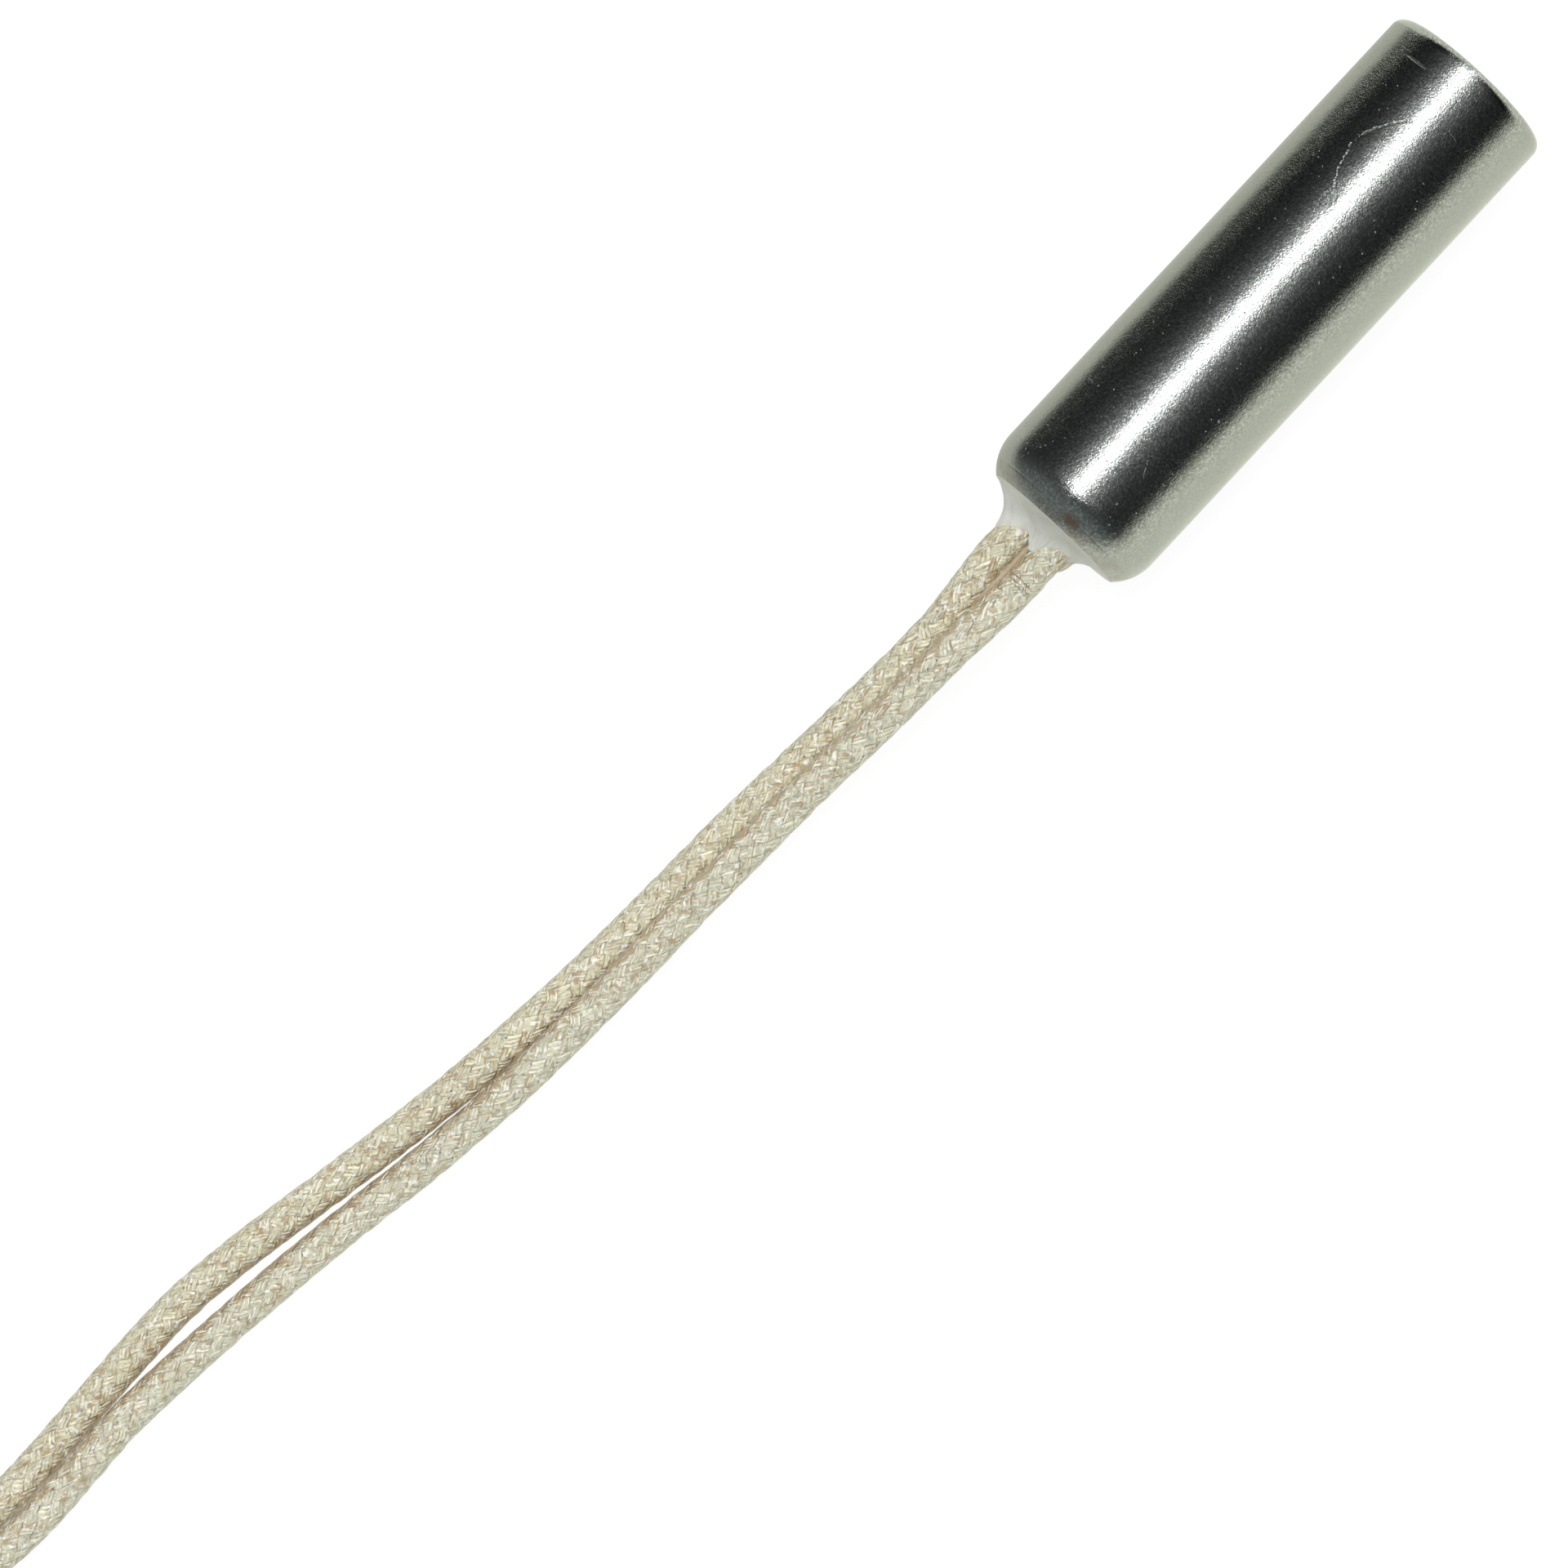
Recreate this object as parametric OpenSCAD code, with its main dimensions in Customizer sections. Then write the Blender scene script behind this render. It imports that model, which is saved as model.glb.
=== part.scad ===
// Flame sensor probe: a potted steel capsule with two braided glass-fibre leads.
// Origin: centre of the flat tip face, on the capsule's axis. +X leaves through
// the tip, the leads run to -X, and +Z is up from the surface that the probe lies on.

/* [Capsule] */
// Outside diameter of the drawn capsule
capsule_d = 6; // [5.8:0.1:6.4]
// Sheet thickness of the capsule
capsule_wall = 0.3; // [0.2:0.05:0.3]
// Length from the tip face to the start of the rolled shoulder
wall_length = 17.8; // [17.2:0.1:19.6]
// Radius of the rolled shoulder
shoulder_r = 1.7; // [1.5:0.05:1.8]
// Radius of the open mouth, at the outside of the sheet
mouth_r = 2.45; // [2.35:0.05:2.6]
// Edge radius between the tip face and the wall
tip_edge_r = 0.35; // [0.31:0.01:0.6]

/* [Potting] */
// Depth of the cement plug below the shoulder's start
plug_depth = 2.7; // [2:0.1:3]
// How far the cement climbs along the leads past the rim
climb = 1.05; // [0.8:0.05:1.4]
// Radius of the cement where the leads come out
outlet_r = 1.5; // [1.45:0.05:1.8]

/* [Leads] */
// Diameter over the glass-fibre braid
lead_d = 1.2; // [1.1:0.05:1.2]
// Diameter of one conductor strand
strand_d = 0.15; // [0.1:0.01:0.15]

/* [Sensing element] */
// Length of the ceramic chip along the capsule
chip_l = 2.3; // [2:0.1:2.4]
// Width of the ceramic chip
chip_w = 2; // [1.9:0.1:2.2]
// Thickness of the ceramic chip
chip_t = 0.4; // [0.3:0.05:0.6]
// Diameter of the element's own wires
wire_d = 0.2; // [0.15:0.01:0.25]
// Length of the twin-bore ceramic insulator
insulator_l = 3.4; // [2.5:0.1:3.6]

/* [Lead ends] */
// Length of the sleeve that keeps the braid from fraying
sleeve_l = 6; // [4:0.5:6]
// Outside diameter of that sleeve
sleeve_d = 1.8; // [1.6:0.05:1.8]
// Outside diameter of the crimped ferrule
ferrule_d = 1; // [0.8:0.05:1.1]
// Length of the ferrule
ferrule_l = 6; // [5:0.5:8]

/* [Hank] */
// Straight run between the hank's two end loops
run = 22; // [20:1:24]
// Radius of the tightest end loop, at the middle of the lead
fold_r = 3.2; // [3.2:0.1:3.8]
// Width of the twist tie
tie_w = 2; // [1.5:0.1:2.5]
// Thickness of the twist tie
tie_t = 0.4; // [0.3:0.05:0.5]

/* [Hidden] */

$fn = 64;
fine = 32;              // facets on the small round pieces
lap = 0.1;              // how far a cutter or a hidden end runs past the face that it meets
through = 40;           // longer than the capsule, for a bore that goes right through
capsule_r = capsule_d / 2;
lead_r = lead_d / 2;
floor_z = -capsule_r;   // the surface that everything lies on

// The rolled shoulder is an arc that ends where the sheet reaches the mouth's radius
shoulder_c = capsule_r - shoulder_r;
roll = acos((mouth_r - shoulder_c) / shoulder_r);
rim_x = -wall_length - shoulder_r * sin(roll);
outlet_x = rim_x - climb;
plug_x = -wall_length + plug_depth;

// In the capsule lead A lies on the +Y side and lead B on the -Y side, and the pair is
// a little off the capsule's axis
pair_y = 0.18;
lead_pitch = 1.24;
lead_y = [pair_y + lead_pitch / 2, pair_y - lead_pitch / 2];

// Stations along the capsule, from the tip inwards
chip_x = -1;            // the chip's end that faces the tip
pad_l = 0.6;            // length of the two weld pads on the chip
film_t = 0.03;
film_edge = 0.2;        // from the end of the glass to the platinum track
glaze_t = 0.14;
glaze_edge = 0.1;       // from the edge of the chip to the glass
bead_r = 0.3;
wire_gap = 0.02;        // the wires clear the chip by a hair
chip_top = -wire_d / 2 - wire_gap;
bare_wire_l = 0.7;      // bare wire between the chip and the insulator
insulator_x = chip_x - chip_l - bare_wire_l;
insulator_r = 1.1;
insulator_bore_r = 0.2;
insulator_gap = 0.5;    // between the insulator and the sleeving
sleeving_x = insulator_x - insulator_l - insulator_gap;
sleeving_l = 4.5;
sleeving_r = [0.45, 0.58];
crimp_inset = 0.4;      // how far inside the sleeving the crimp starts
crimp_x = sleeving_x - crimp_inset;
crimp_l = 2.6;
crimp_r = [0.25, 0.42];
serving_r = [0.25, 0.4];
strip_l = 0.4;          // bare serving between the sleeving and the braid
braid_x = sleeving_x - sleeving_l - strip_l;
strand_gap = 0.01;
strands = 6;            // strands around the middle one

// Rings of the swept leads
lead_sides = 8;

// Where each lead lies, as [distance past the outlet, y, z], from the outlet to the hank
route_a = [
    [0, 0.8, 0], [-1, 0.8, 0], [-2, 0.7, -0.22], [-3.5, 0.57, -0.5], [-5.5, 0.6, -0.9],
    [-7.5, 0.7, -1.3], [-9.5, 0.83, -1.7], [-11.5, 0.95, -2], [-13.5, 1.05, -2.25],
    [-15.5, 1.1, -2.38], [-17.5, 1.16, -2.4], [-19.5, 1.28, -2.4], [-21.5, 1.43, -2.4],
    [-23.5, 1.62, -2.4], [-25.5, 1.88, -2.4], [-27.5, 2.2, -2.4], [-29.5, 2.55, -2.4],
    [-31.5, 2.92, -2.4], [-33.5, 3.25, -2.4], [-35.5, 3.46, -2.4], [-37.5, 3.48, -2.4],
    [-39.5, 3.42, -2.4], [-41.5, 3.34, -2.4], [-43.5, 3.32, -2.4], [-45.5, 3.42, -2.4],
    [-48, 3.66, -2.4], [-50, 3.8, -2.4], [-51, 3.8, -2.4]
];
route_b = [
    [0, -0.44, 0], [-1, -0.44, 0], [-2, -0.41, 0.36], [-3.5, -0.3, 0.38], [-5.5, -0.22, 0.03],
    [-7.5, -0.12, -0.38], [-9.5, 0, -0.78], [-11.5, 0.08, -1.13], [-13.5, 0.14, -1.41],
    [-15.5, 0.19, -1.56], [-17.5, 0.21, -1.62], [-19.5, 0.26, -1.72], [-21.5, 0.34, -1.84],
    [-23.5, 0.46, -2.02], [-25.5, 0.66, -2.24], [-27.5, 0.92, -2.38], [-29.5, 1.24, -2.4],
    [-31.5, 1.52, -2.4], [-33.5, 1.76, -2.4], [-35.5, 1.96, -2.4], [-37.5, 2.14, -2.4],
    [-39.5, 2.25, -1.98], [-41.5, 2.18, -1.92], [-43.5, 2.14, -1.9], [-45, 2.25, -1.8],
    [-46.5, 2.55, -1.45], [-48, 3.15, -0.66], [-49.5, 3.68, -0.1], [-50.5, 3.8, 0],
    [-51, 3.8, 0]
];

// The hank: each lead fills two columns and two layers of it
join_y = 3.8;                   // both leads come to the hank, and leave it, on this line
ear_l = 3.5;                    // straight stub where a lead joins or leaves the hank
loop_x = outlet_x + route_a[len(route_a) - 1][0] - ear_l;  // the nearer end loops' centre
loop_r = fold_r + lead_d;       // radius of the outer column's loops
hank_y = join_y - loop_r;
hank_r = loop_r + lead_r;
waist_r = 2 * lead_d;           // half of the width where the tie pulls the hank in
waist_l = 4;                    // length of the narrow waist
hank_h = 2 * lead_d;            // height of one lead's half of the hank
hank_mid_x = loop_x - run / 2;
pull_in_steps = 8;
tie_twist_l = 7;
tie_twist_d = 1.8;
tie_twist_z = 1.2;              // height of the twisted ends' middle over the leads
tie_turns = 2.5;
tie_root_l = 0.2;               // how far the twisted ends reach into their root

// The tails, from the hank to the ends of the braid
tail_x = loop_x - run - ear_l;
tail_a = [
    [0, 3.8, -1.2], [-1, 3.8, -1.2], [-2.5, 3.75, -1.45], [-4, 3.62, -1.86], [-5.5, 3.5, -2.1],
    [-7, 3.5, -2.1], [-9, 3.5, -2.1], [-11.5, 3.5, -2.1], [-14.5, 3.5, -2.1]
];
tail_b = [
    [0, 3.8, 1.2], [-1, 3.8, 1.2], [-2.5, 3.55, 0.8], [-4, 2.95, -0.1], [-5.5, 2.2, -1.05],
    [-7, 1.65, -1.78], [-8.5, 1.5, -2.1], [-9.5, 1.5, -2.1], [-11.5, 1.5, -2.1],
    [-14.5, 1.5, -2.1]
];
lead_end_x = tail_x + tail_a[len(tail_a) - 1][0];
end_a = [3.5, -2.1];
end_b = [1.5, -2.1];
sleeve_past_l = 0.5;            // the sleeve runs this far past the braid's end
ferrule_gap = 1;                // bare conductor between the sleeve and the ferrule
ferrule_x = lead_end_x - sleeve_past_l - ferrule_gap;
ferrule_bore_r = 0.26;
flare_l = 0.9;
flare_r = 0.75;
flare_wall = 0.2;

// Points along an arc in a profile, from angle a0 to a1
function arc(cx, cy, r, a0, a1, n = 16) =
    [for (i = [0 : n]) let (a = a0 + (a1 - a0) * i / n) [cx + r * cos(a), cy + r * sin(a)]];

// A smooth step from 0 to 1
function ease(t) = t <= 0 ? 0 : t >= 1 ? 1 : t * t * (3 - 2 * t);

function unit(v) = v / norm(v);

// The direction of a route at one of its points
function heading(route, i) =
    unit(route[min(i + 1, len(route) - 1)] - route[max(i - 1, 0)]);

// One ring of points around a route, square to it
function ring(p, along, r) =
    let (side = unit(cross(along, [0, 0, 1])), up = cross(side, along))
    [for (k = [0 : lead_sides - 1])
        let (a = 360 * k / lead_sides) p + r * (cos(a) * side + sin(a) * up)];

function moved(route, x) = [for (p = route) p + [x, 0, 0]];

// A tube along a route, closed at both ends
module swept(route, r) {
    last = len(route) - 1;
    points = [for (i = [0 : last]) each ring(route[i], heading(route, i), r)];
    start_cap = [for (k = [lead_sides - 1 : -1 : 0]) k];
    end_cap = [for (k = [0 : lead_sides - 1]) last * lead_sides + k];
    walls = [for (i = [0 : last - 1], k = [0 : lead_sides - 1])
        let (next = (k + 1) % lead_sides, a = i * lead_sides, b = a + lead_sides)
        [a + k, a + next, b + next, b + k]];
    polyhedron(points = points, faces = concat([start_cap], walls, [end_cap]), convexity = 6);
}

// A turned shape about the X axis, from a profile of [radius, x]
module turned(profile) {
    rotate([0, 90, 0]) rotate_extrude() polygon(profile);
}

// A round bar along X, from x0 back to x0 - l
module bar(x0, l, r, y = 0, z = 0) {
    translate([x0 - l, y, z]) rotate([0, 90, 0]) cylinder(r = r, h = l, $fn = fine);
}

// A round tube along X
module pipe(x0, l, r, y = 0, z = 0) {
    difference() {
        bar(x0, l, r[1], y, z);
        bar(x0 + lap, l + 2 * lap, r[0], y, z);
    }
}

// A stranded conductor: one strand with six laid round it, a hair apart
module stranded(x0, l, y, z = 0) {
    pitch = strand_d + strand_gap;
    bar(x0, l, strand_d / 2, y, z);
    for (k = [0 : strands - 1])
        bar(x0, l, strand_d / 2, y + pitch * cos(60 * k), z + pitch * sin(60 * k));
}

module capsule() {
    outside = concat(
        arc(capsule_r - tip_edge_r, -tip_edge_r, tip_edge_r, 90, 0, 8),
        arc(shoulder_c, -wall_length, shoulder_r, 0, -roll));
    inside = concat(
        arc(shoulder_c, -wall_length, shoulder_r - capsule_wall, -roll, 0),
        [[capsule_r - capsule_wall, -tip_edge_r], [capsule_r - tip_edge_r, -capsule_wall]]);
    color([0.72, 0.73, 0.72])
        turned(concat([[0, 0]], outside, inside, [[0, -capsule_wall]]));
}

// Everything that the powder and the cement are packed around
module packed_around() {
    chip_plate();
    glaze_plate();
    bond_bead_shape();
    insulator_body();
    for (y = lead_y) {
        element_wire(y);
        bar(sleeving_x, sleeving_l, sleeving_r[1], y);
        bar(sleeving_x - sleeving_l + lap, strip_l + 2 * lap, serving_r[1], y);
        bar(braid_x, through, lead_r, y);
    }
}

module powder_fill() {
    r = capsule_r - capsule_wall;
    color([0.86, 0.84, 0.78]) difference() {
        turned([[0, -capsule_wall], [capsule_r - tip_edge_r, -capsule_wall],
            [r, -tip_edge_r], [r, plug_x], [0, plug_x]]);
        packed_around();
    }
}

module potting_seal() {
    inside_roll = arc(shoulder_c, -wall_length, shoulder_r - capsule_wall, 0, -roll);
    lip = [mouth_r, rim_x];
    // The free surface is hollow: it sweeps from the rim in to the leads
    climbing = [for (i = [1 : 10]) let (a = 90 * i / 10)
        [lip[0] - (lip[0] - outlet_r) * sin(a), rim_x - climb * (1 - cos(a))]];
    color([0.85, 0.84, 0.8]) difference() {
        turned(concat([[0, plug_x], [capsule_r - capsule_wall, plug_x]], inside_roll,
            [lip], climbing, [[0, outlet_x]]));
        for (y = lead_y) bar(0, through, lead_r, y);
    }
}

module chip_plate() {
    translate([chip_x - chip_l, pair_y - chip_w / 2, chip_top - chip_t])
        cube([chip_l, chip_w, chip_t]);
}

// The glass ends short of the weld pads and of the chip's edges
module glaze_plate() {
    translate([chip_x - chip_l + pad_l, pair_y - chip_w / 2 + glaze_edge, chip_top])
        cube([chip_l - pad_l - glaze_edge, chip_w - 2 * glaze_edge, glaze_t]);
}

module element_substrate() {
    color([0.93, 0.92, 0.9]) chip_plate();
}

// The platinum track: parallel legs joined at alternate ends
module film_track() {
    legs = 6;
    leg_w = 0.12;
    leg_pitch = 0.27;
    leg_l = chip_l - pad_l - glaze_edge - 2 * film_edge;
    x0 = chip_x - chip_l + pad_l + film_edge;
    y0 = pair_y - leg_pitch * (legs - 1) / 2 - leg_w / 2;
    for (k = [0 : legs - 1])
        translate([x0, y0 + leg_pitch * k, chip_top]) cube([leg_l, leg_w, film_t]);
    for (k = [0 : legs - 2])
        translate([k % 2 == 0 ? x0 + leg_l - leg_w : x0, y0 + leg_pitch * k, chip_top])
            cube([leg_w, leg_pitch + leg_w, film_t]);
}

module element_film() {
    color([0.62, 0.62, 0.64]) film_track();
}

module element_glaze() {
    color([0.45, 0.6, 0.8]) difference() {
        glaze_plate();
        film_track();
    }
}

module bond_bead_shape() {
    bead_w = chip_w - 2 * glaze_edge;
    intersection() {
        translate([chip_x - chip_l + bead_r, pair_y + bead_w / 2, chip_top])
            rotate([90, 0, 0]) cylinder(r = bead_r, h = bead_w, $fn = fine);
        translate([chip_x - chip_l, pair_y - chip_w, chip_top])
            cube([2 * bead_r, 2 * chip_w, 2 * bead_r]);
    }
}

module element_bond_bead() {
    color([0.75, 0.8, 0.72]) difference() {
        bond_bead_shape();
        for (y = lead_y) element_wire(y);
    }
}

// The element's wire, from inside the bead to the middle of the crimp
module element_wire(y) {
    start_x = chip_x - chip_l + 2 * bead_r - lap;
    bar(start_x, start_x - crimp_x + crimp_l / 2 - lap, wire_d / 2, y);
}

module element_wire_a() {
    color([0.75, 0.75, 0.76]) element_wire(lead_y[0]);
}

module element_wire_b() {
    color([0.75, 0.75, 0.76]) element_wire(lead_y[1]);
}

module insulator_body() {
    bar(insulator_x, insulator_l, insulator_r, pair_y);
}

module twin_bore_insulator() {
    color([0.95, 0.94, 0.9]) difference() {
        insulator_body();
        for (y = lead_y) bar(0, through, insulator_bore_r, y);
    }
}

module crimp_sleeve(y) {
    color([0.7, 0.69, 0.65]) pipe(crimp_x, crimp_l, crimp_r, y);
}

module crimp_sleeve_a() {
    crimp_sleeve(lead_y[0]);
}

module crimp_sleeve_b() {
    crimp_sleeve(lead_y[1]);
}

module splice_sleeving(y) {
    color([0.9, 0.87, 0.78]) pipe(sleeving_x, sleeving_l, sleeving_r, y);
}

module splice_sleeving_a() {
    splice_sleeving(lead_y[0]);
}

module splice_sleeving_b() {
    splice_sleeving(lead_y[1]);
}

// The conductor, from the middle of the crimp to the outlet
module conductor(y) {
    start_x = crimp_x - crimp_l / 2 - lap;
    color([0.78, 0.76, 0.72]) stranded(start_x, start_x - outlet_x, y);
}

module conductor_a() {
    conductor(lead_y[0]);
}

module conductor_b() {
    conductor(lead_y[1]);
}

module inner_serving(y) {
    start_x = sleeving_x - sleeving_l;
    color([0.92, 0.9, 0.84]) pipe(start_x, start_x - outlet_x, serving_r, y);
}

module inner_serving_a() {
    inner_serving(lead_y[0]);
}

module inner_serving_b() {
    inner_serving(lead_y[1]);
}

// The braid's first stretch, held in the powder and the cement
module lead_root(y) {
    color([0.8, 0.76, 0.66]) pipe(braid_x, braid_x - outlet_x, [serving_r[1], lead_r], y);
}

module lead_root_a() {
    lead_root(lead_y[0]);
}

module lead_root_b() {
    lead_root(lead_y[1]);
}

module lead_a() {
    color([0.82, 0.77, 0.66]) swept(moved(route_a, outlet_x), lead_r);
}

module lead_b() {
    color([0.79, 0.77, 0.69]) swept(moved(route_b, outlet_x), lead_r);
}

// A quarter of the hank's outline, from the waist out to where an end loop starts
function pulled_in(sign_x, sign_y) = [for (i = [0 : pull_in_steps - 1])
    let (t = i / pull_in_steps, reach = run / 2 - waist_l / 2)
    [sign_x * (waist_l / 2 + reach * t), sign_y * (waist_r + (hank_r - waist_r) * ease(t))]];

function backwards(list) = [for (i = [len(list) - 1 : -1 : 0]) list[i]];

// A straight stub beside an end loop, on the +Y side, where a lead joins or leaves
function ear(sign_x) = [for (p = [[0, hank_r], [ear_l, hank_r], [ear_l, hank_r - lead_d]])
    [sign_x * (run / 2 + p[0]), p[1]]];

// The hank seen from above: round ends, a narrow waist, and two ears
module hank_outline() {
    under_ear = asin((hank_r - lead_d) / hank_r);
    polygon(concat(
        pulled_in(1, 1), ear(1), arc(run / 2, 0, hank_r, under_ear, -90, 20),
        backwards(pulled_in(1, -1)), pulled_in(-1, -1),
        arc(-run / 2, 0, hank_r, 270, 180 - under_ear, 20), backwards(ear(-1)),
        backwards(pulled_in(-1, 1))));
}

module hank_half(layer) {
    translate([hank_mid_x, hank_y, floor_z + layer * hank_h])
        linear_extrude(height = hank_h) hank_outline();
}

module lead_a_hank() {
    color([0.82, 0.77, 0.66]) difference() {
        hank_half(0);
        translate([hank_mid_x - tie_w / 2, hank_y - hank_r, floor_z - lap])
            cube([tie_w, 2 * hank_r, tie_t + lap]);
    }
}

module lead_b_hank() {
    color([0.79, 0.77, 0.69]) hank_half(1);
}

// A flat wire tie: a band round the waist with its two ends twisted together on top
module hank_tie() {
    top_z = floor_z + 2 * hank_h;
    color([0.9, 0.9, 0.88]) {
        difference() {
            translate([hank_mid_x - tie_w / 2, hank_y - waist_r - tie_t, floor_z])
                cube([tie_w, 2 * (waist_r + tie_t), 2 * hank_h + tie_t]);
            translate([hank_mid_x - tie_w, hank_y - waist_r, floor_z + tie_t])
                cube([2 * tie_w, 2 * waist_r, 2 * hank_h - tie_t]);
        }
        translate([hank_mid_x + tie_w / 2 - tie_root_l, hank_y, top_z + tie_twist_z])
            rotate([0, 90, 0])
                linear_extrude(height = tie_twist_l, twist = 360 * tie_turns, slices = 24, segments = 4)
                    square([tie_twist_d, 2 * tie_t], center = true);
        translate([hank_mid_x - tie_w / 2, hank_y - tie_t, top_z + tie_t / 2])
            cube([tie_w, 2 * tie_t, tie_twist_z + tie_twist_d / 2 - tie_t / 2]);
    }
}

module lead_a_tail() {
    color([0.82, 0.77, 0.66]) swept(moved(tail_a, tail_x), lead_r);
}

module lead_b_tail() {
    color([0.79, 0.77, 0.69]) swept(moved(tail_b, tail_x), lead_r);
}

module fray_sleeve(at) {
    color([0.55, 0.2, 0.15])
        pipe(lead_end_x + sleeve_l - sleeve_past_l, sleeve_l, [lead_r, sleeve_d / 2], at[0], at[1]);
}

module fray_sleeve_a() {
    fray_sleeve(end_a);
}

module fray_sleeve_b() {
    fray_sleeve(end_b);
}

module tail_conductor(at) {
    color([0.78, 0.76, 0.72])
        stranded(lead_end_x, lead_end_x - ferrule_x + ferrule_l, at[0], at[1]);
}

module tail_conductor_a() {
    tail_conductor(end_a);
}

module tail_conductor_b() {
    tail_conductor(end_b);
}

// A crimped ferrule with a flared mouth towards the sleeve
module ferrule(at) {
    color([0.82, 0.82, 0.8])
        translate([0, at[0], at[1]]) turned([
            [ferrule_bore_r, ferrule_x - ferrule_l], [ferrule_d / 2, ferrule_x - ferrule_l],
            [ferrule_d / 2, ferrule_x - flare_l], [flare_r, ferrule_x],
            [flare_r - flare_wall, ferrule_x], [ferrule_bore_r, ferrule_x - flare_l]]);
}

module ferrule_a() {
    ferrule(end_a);
}

module ferrule_b() {
    ferrule(end_b);
}

capsule();
powder_fill();
potting_seal();
element_substrate();
element_film();
element_glaze();
element_bond_bead();
element_wire_a();
element_wire_b();
twin_bore_insulator();
crimp_sleeve_a();
crimp_sleeve_b();
splice_sleeving_a();
splice_sleeving_b();
conductor_a();
conductor_b();
inner_serving_a();
inner_serving_b();
lead_root_a();
lead_root_b();
lead_a();
lead_b();
lead_a_hank();
lead_b_hank();
hank_tie();
lead_a_tail();
lead_b_tail();
fray_sleeve_a();
fray_sleeve_b();
tail_conductor_a();
tail_conductor_b();
ferrule_a();
ferrule_b();
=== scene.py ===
"""Looks of the flame sensor probe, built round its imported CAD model. Lengths are in metres."""
import math

import bmesh
import bpy
import numpy as np
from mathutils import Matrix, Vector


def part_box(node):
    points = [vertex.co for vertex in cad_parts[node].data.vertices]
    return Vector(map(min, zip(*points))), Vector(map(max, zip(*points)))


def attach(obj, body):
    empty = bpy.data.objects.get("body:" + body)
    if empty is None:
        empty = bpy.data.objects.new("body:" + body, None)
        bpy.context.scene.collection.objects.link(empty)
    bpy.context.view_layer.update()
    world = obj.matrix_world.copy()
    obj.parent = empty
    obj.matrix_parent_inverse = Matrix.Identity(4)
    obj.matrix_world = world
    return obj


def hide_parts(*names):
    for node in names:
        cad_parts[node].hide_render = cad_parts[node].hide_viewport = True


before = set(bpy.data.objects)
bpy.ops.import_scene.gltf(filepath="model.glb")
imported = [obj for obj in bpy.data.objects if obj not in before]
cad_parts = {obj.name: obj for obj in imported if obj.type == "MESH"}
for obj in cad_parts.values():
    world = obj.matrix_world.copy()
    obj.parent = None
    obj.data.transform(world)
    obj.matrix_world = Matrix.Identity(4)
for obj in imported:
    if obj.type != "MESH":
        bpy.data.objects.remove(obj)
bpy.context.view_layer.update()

SEED = 11
MM = 0.001

# ------------ places from the CAD model

capsule_low, capsule_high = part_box("capsule")
CAPSULE_R = capsule_high.z
RIM_X = capsule_low.x
FLOOR_Z = capsule_low.z
OUTLET_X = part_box("potting_seal")[0].x
PLUG_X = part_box("potting_seal")[1].x
LEAD_R = 0.0006
LEAD_Y = (0.0008, -0.00044)         # where the leads run in the capsule, A and B
PAIR_Y = sum(LEAD_Y) / 2
HANK_LOW, HANK_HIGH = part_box("lead_a_hank")
TIE_LOW, TIE_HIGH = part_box("hank_tie")

# ------------ camera

VIEW_WIDTH = 0.04885                # what the picture spans at the height of the capsule's axis
CAMERA_HEIGHT = 0.1985              # above the capsule's axis
CAMERA_X, CAMERA_Y = -0.0306, 0.00072
CAMERA_TURN = -47.02                # degrees, so that the probe points up and to the right


def make_camera():
    data = bpy.data.cameras.new("camera")
    camera = bpy.data.objects.new("camera", data)
    bpy.context.scene.collection.objects.link(camera)
    data.lens = data.sensor_width * CAMERA_HEIGHT / VIEW_WIDTH
    data.clip_start = 0.01
    camera.location = (CAMERA_X, CAMERA_Y, CAMERA_HEIGHT)
    camera.rotation_euler = (0, 0, math.radians(CAMERA_TURN))
    bpy.context.scene.camera = camera


make_camera()

# ------------ the leads' route

# From the outlet to the hank, as (distance past the outlet, y, z) in millimetres
ROUTE_A = [
    (0, 0.8, 0), (-1, 0.8, 0), (-2, 0.7, -0.22), (-3.5, 0.57, -0.5), (-5.5, 0.6, -0.9),
    (-7.5, 0.7, -1.3), (-9.5, 0.83, -1.7), (-11.5, 0.95, -2), (-13.5, 1.05, -2.25),
    (-15.5, 1.1, -2.38), (-17.5, 1.16, -2.4), (-19.5, 1.28, -2.4), (-21.5, 1.43, -2.4),
    (-23.5, 1.62, -2.4), (-25.5, 1.88, -2.4), (-27.5, 2.2, -2.4), (-29.5, 2.55, -2.4),
    (-31.5, 2.92, -2.4), (-33.5, 3.25, -2.4), (-35.5, 3.46, -2.4), (-37.5, 3.48, -2.4),
    (-39.5, 3.42, -2.4), (-41.5, 3.34, -2.4), (-43.5, 3.32, -2.4), (-45.5, 3.42, -2.4),
    (-48, 3.66, -2.4), (-50, 3.8, -2.4), (-51, 3.8, -2.4),
]
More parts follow.
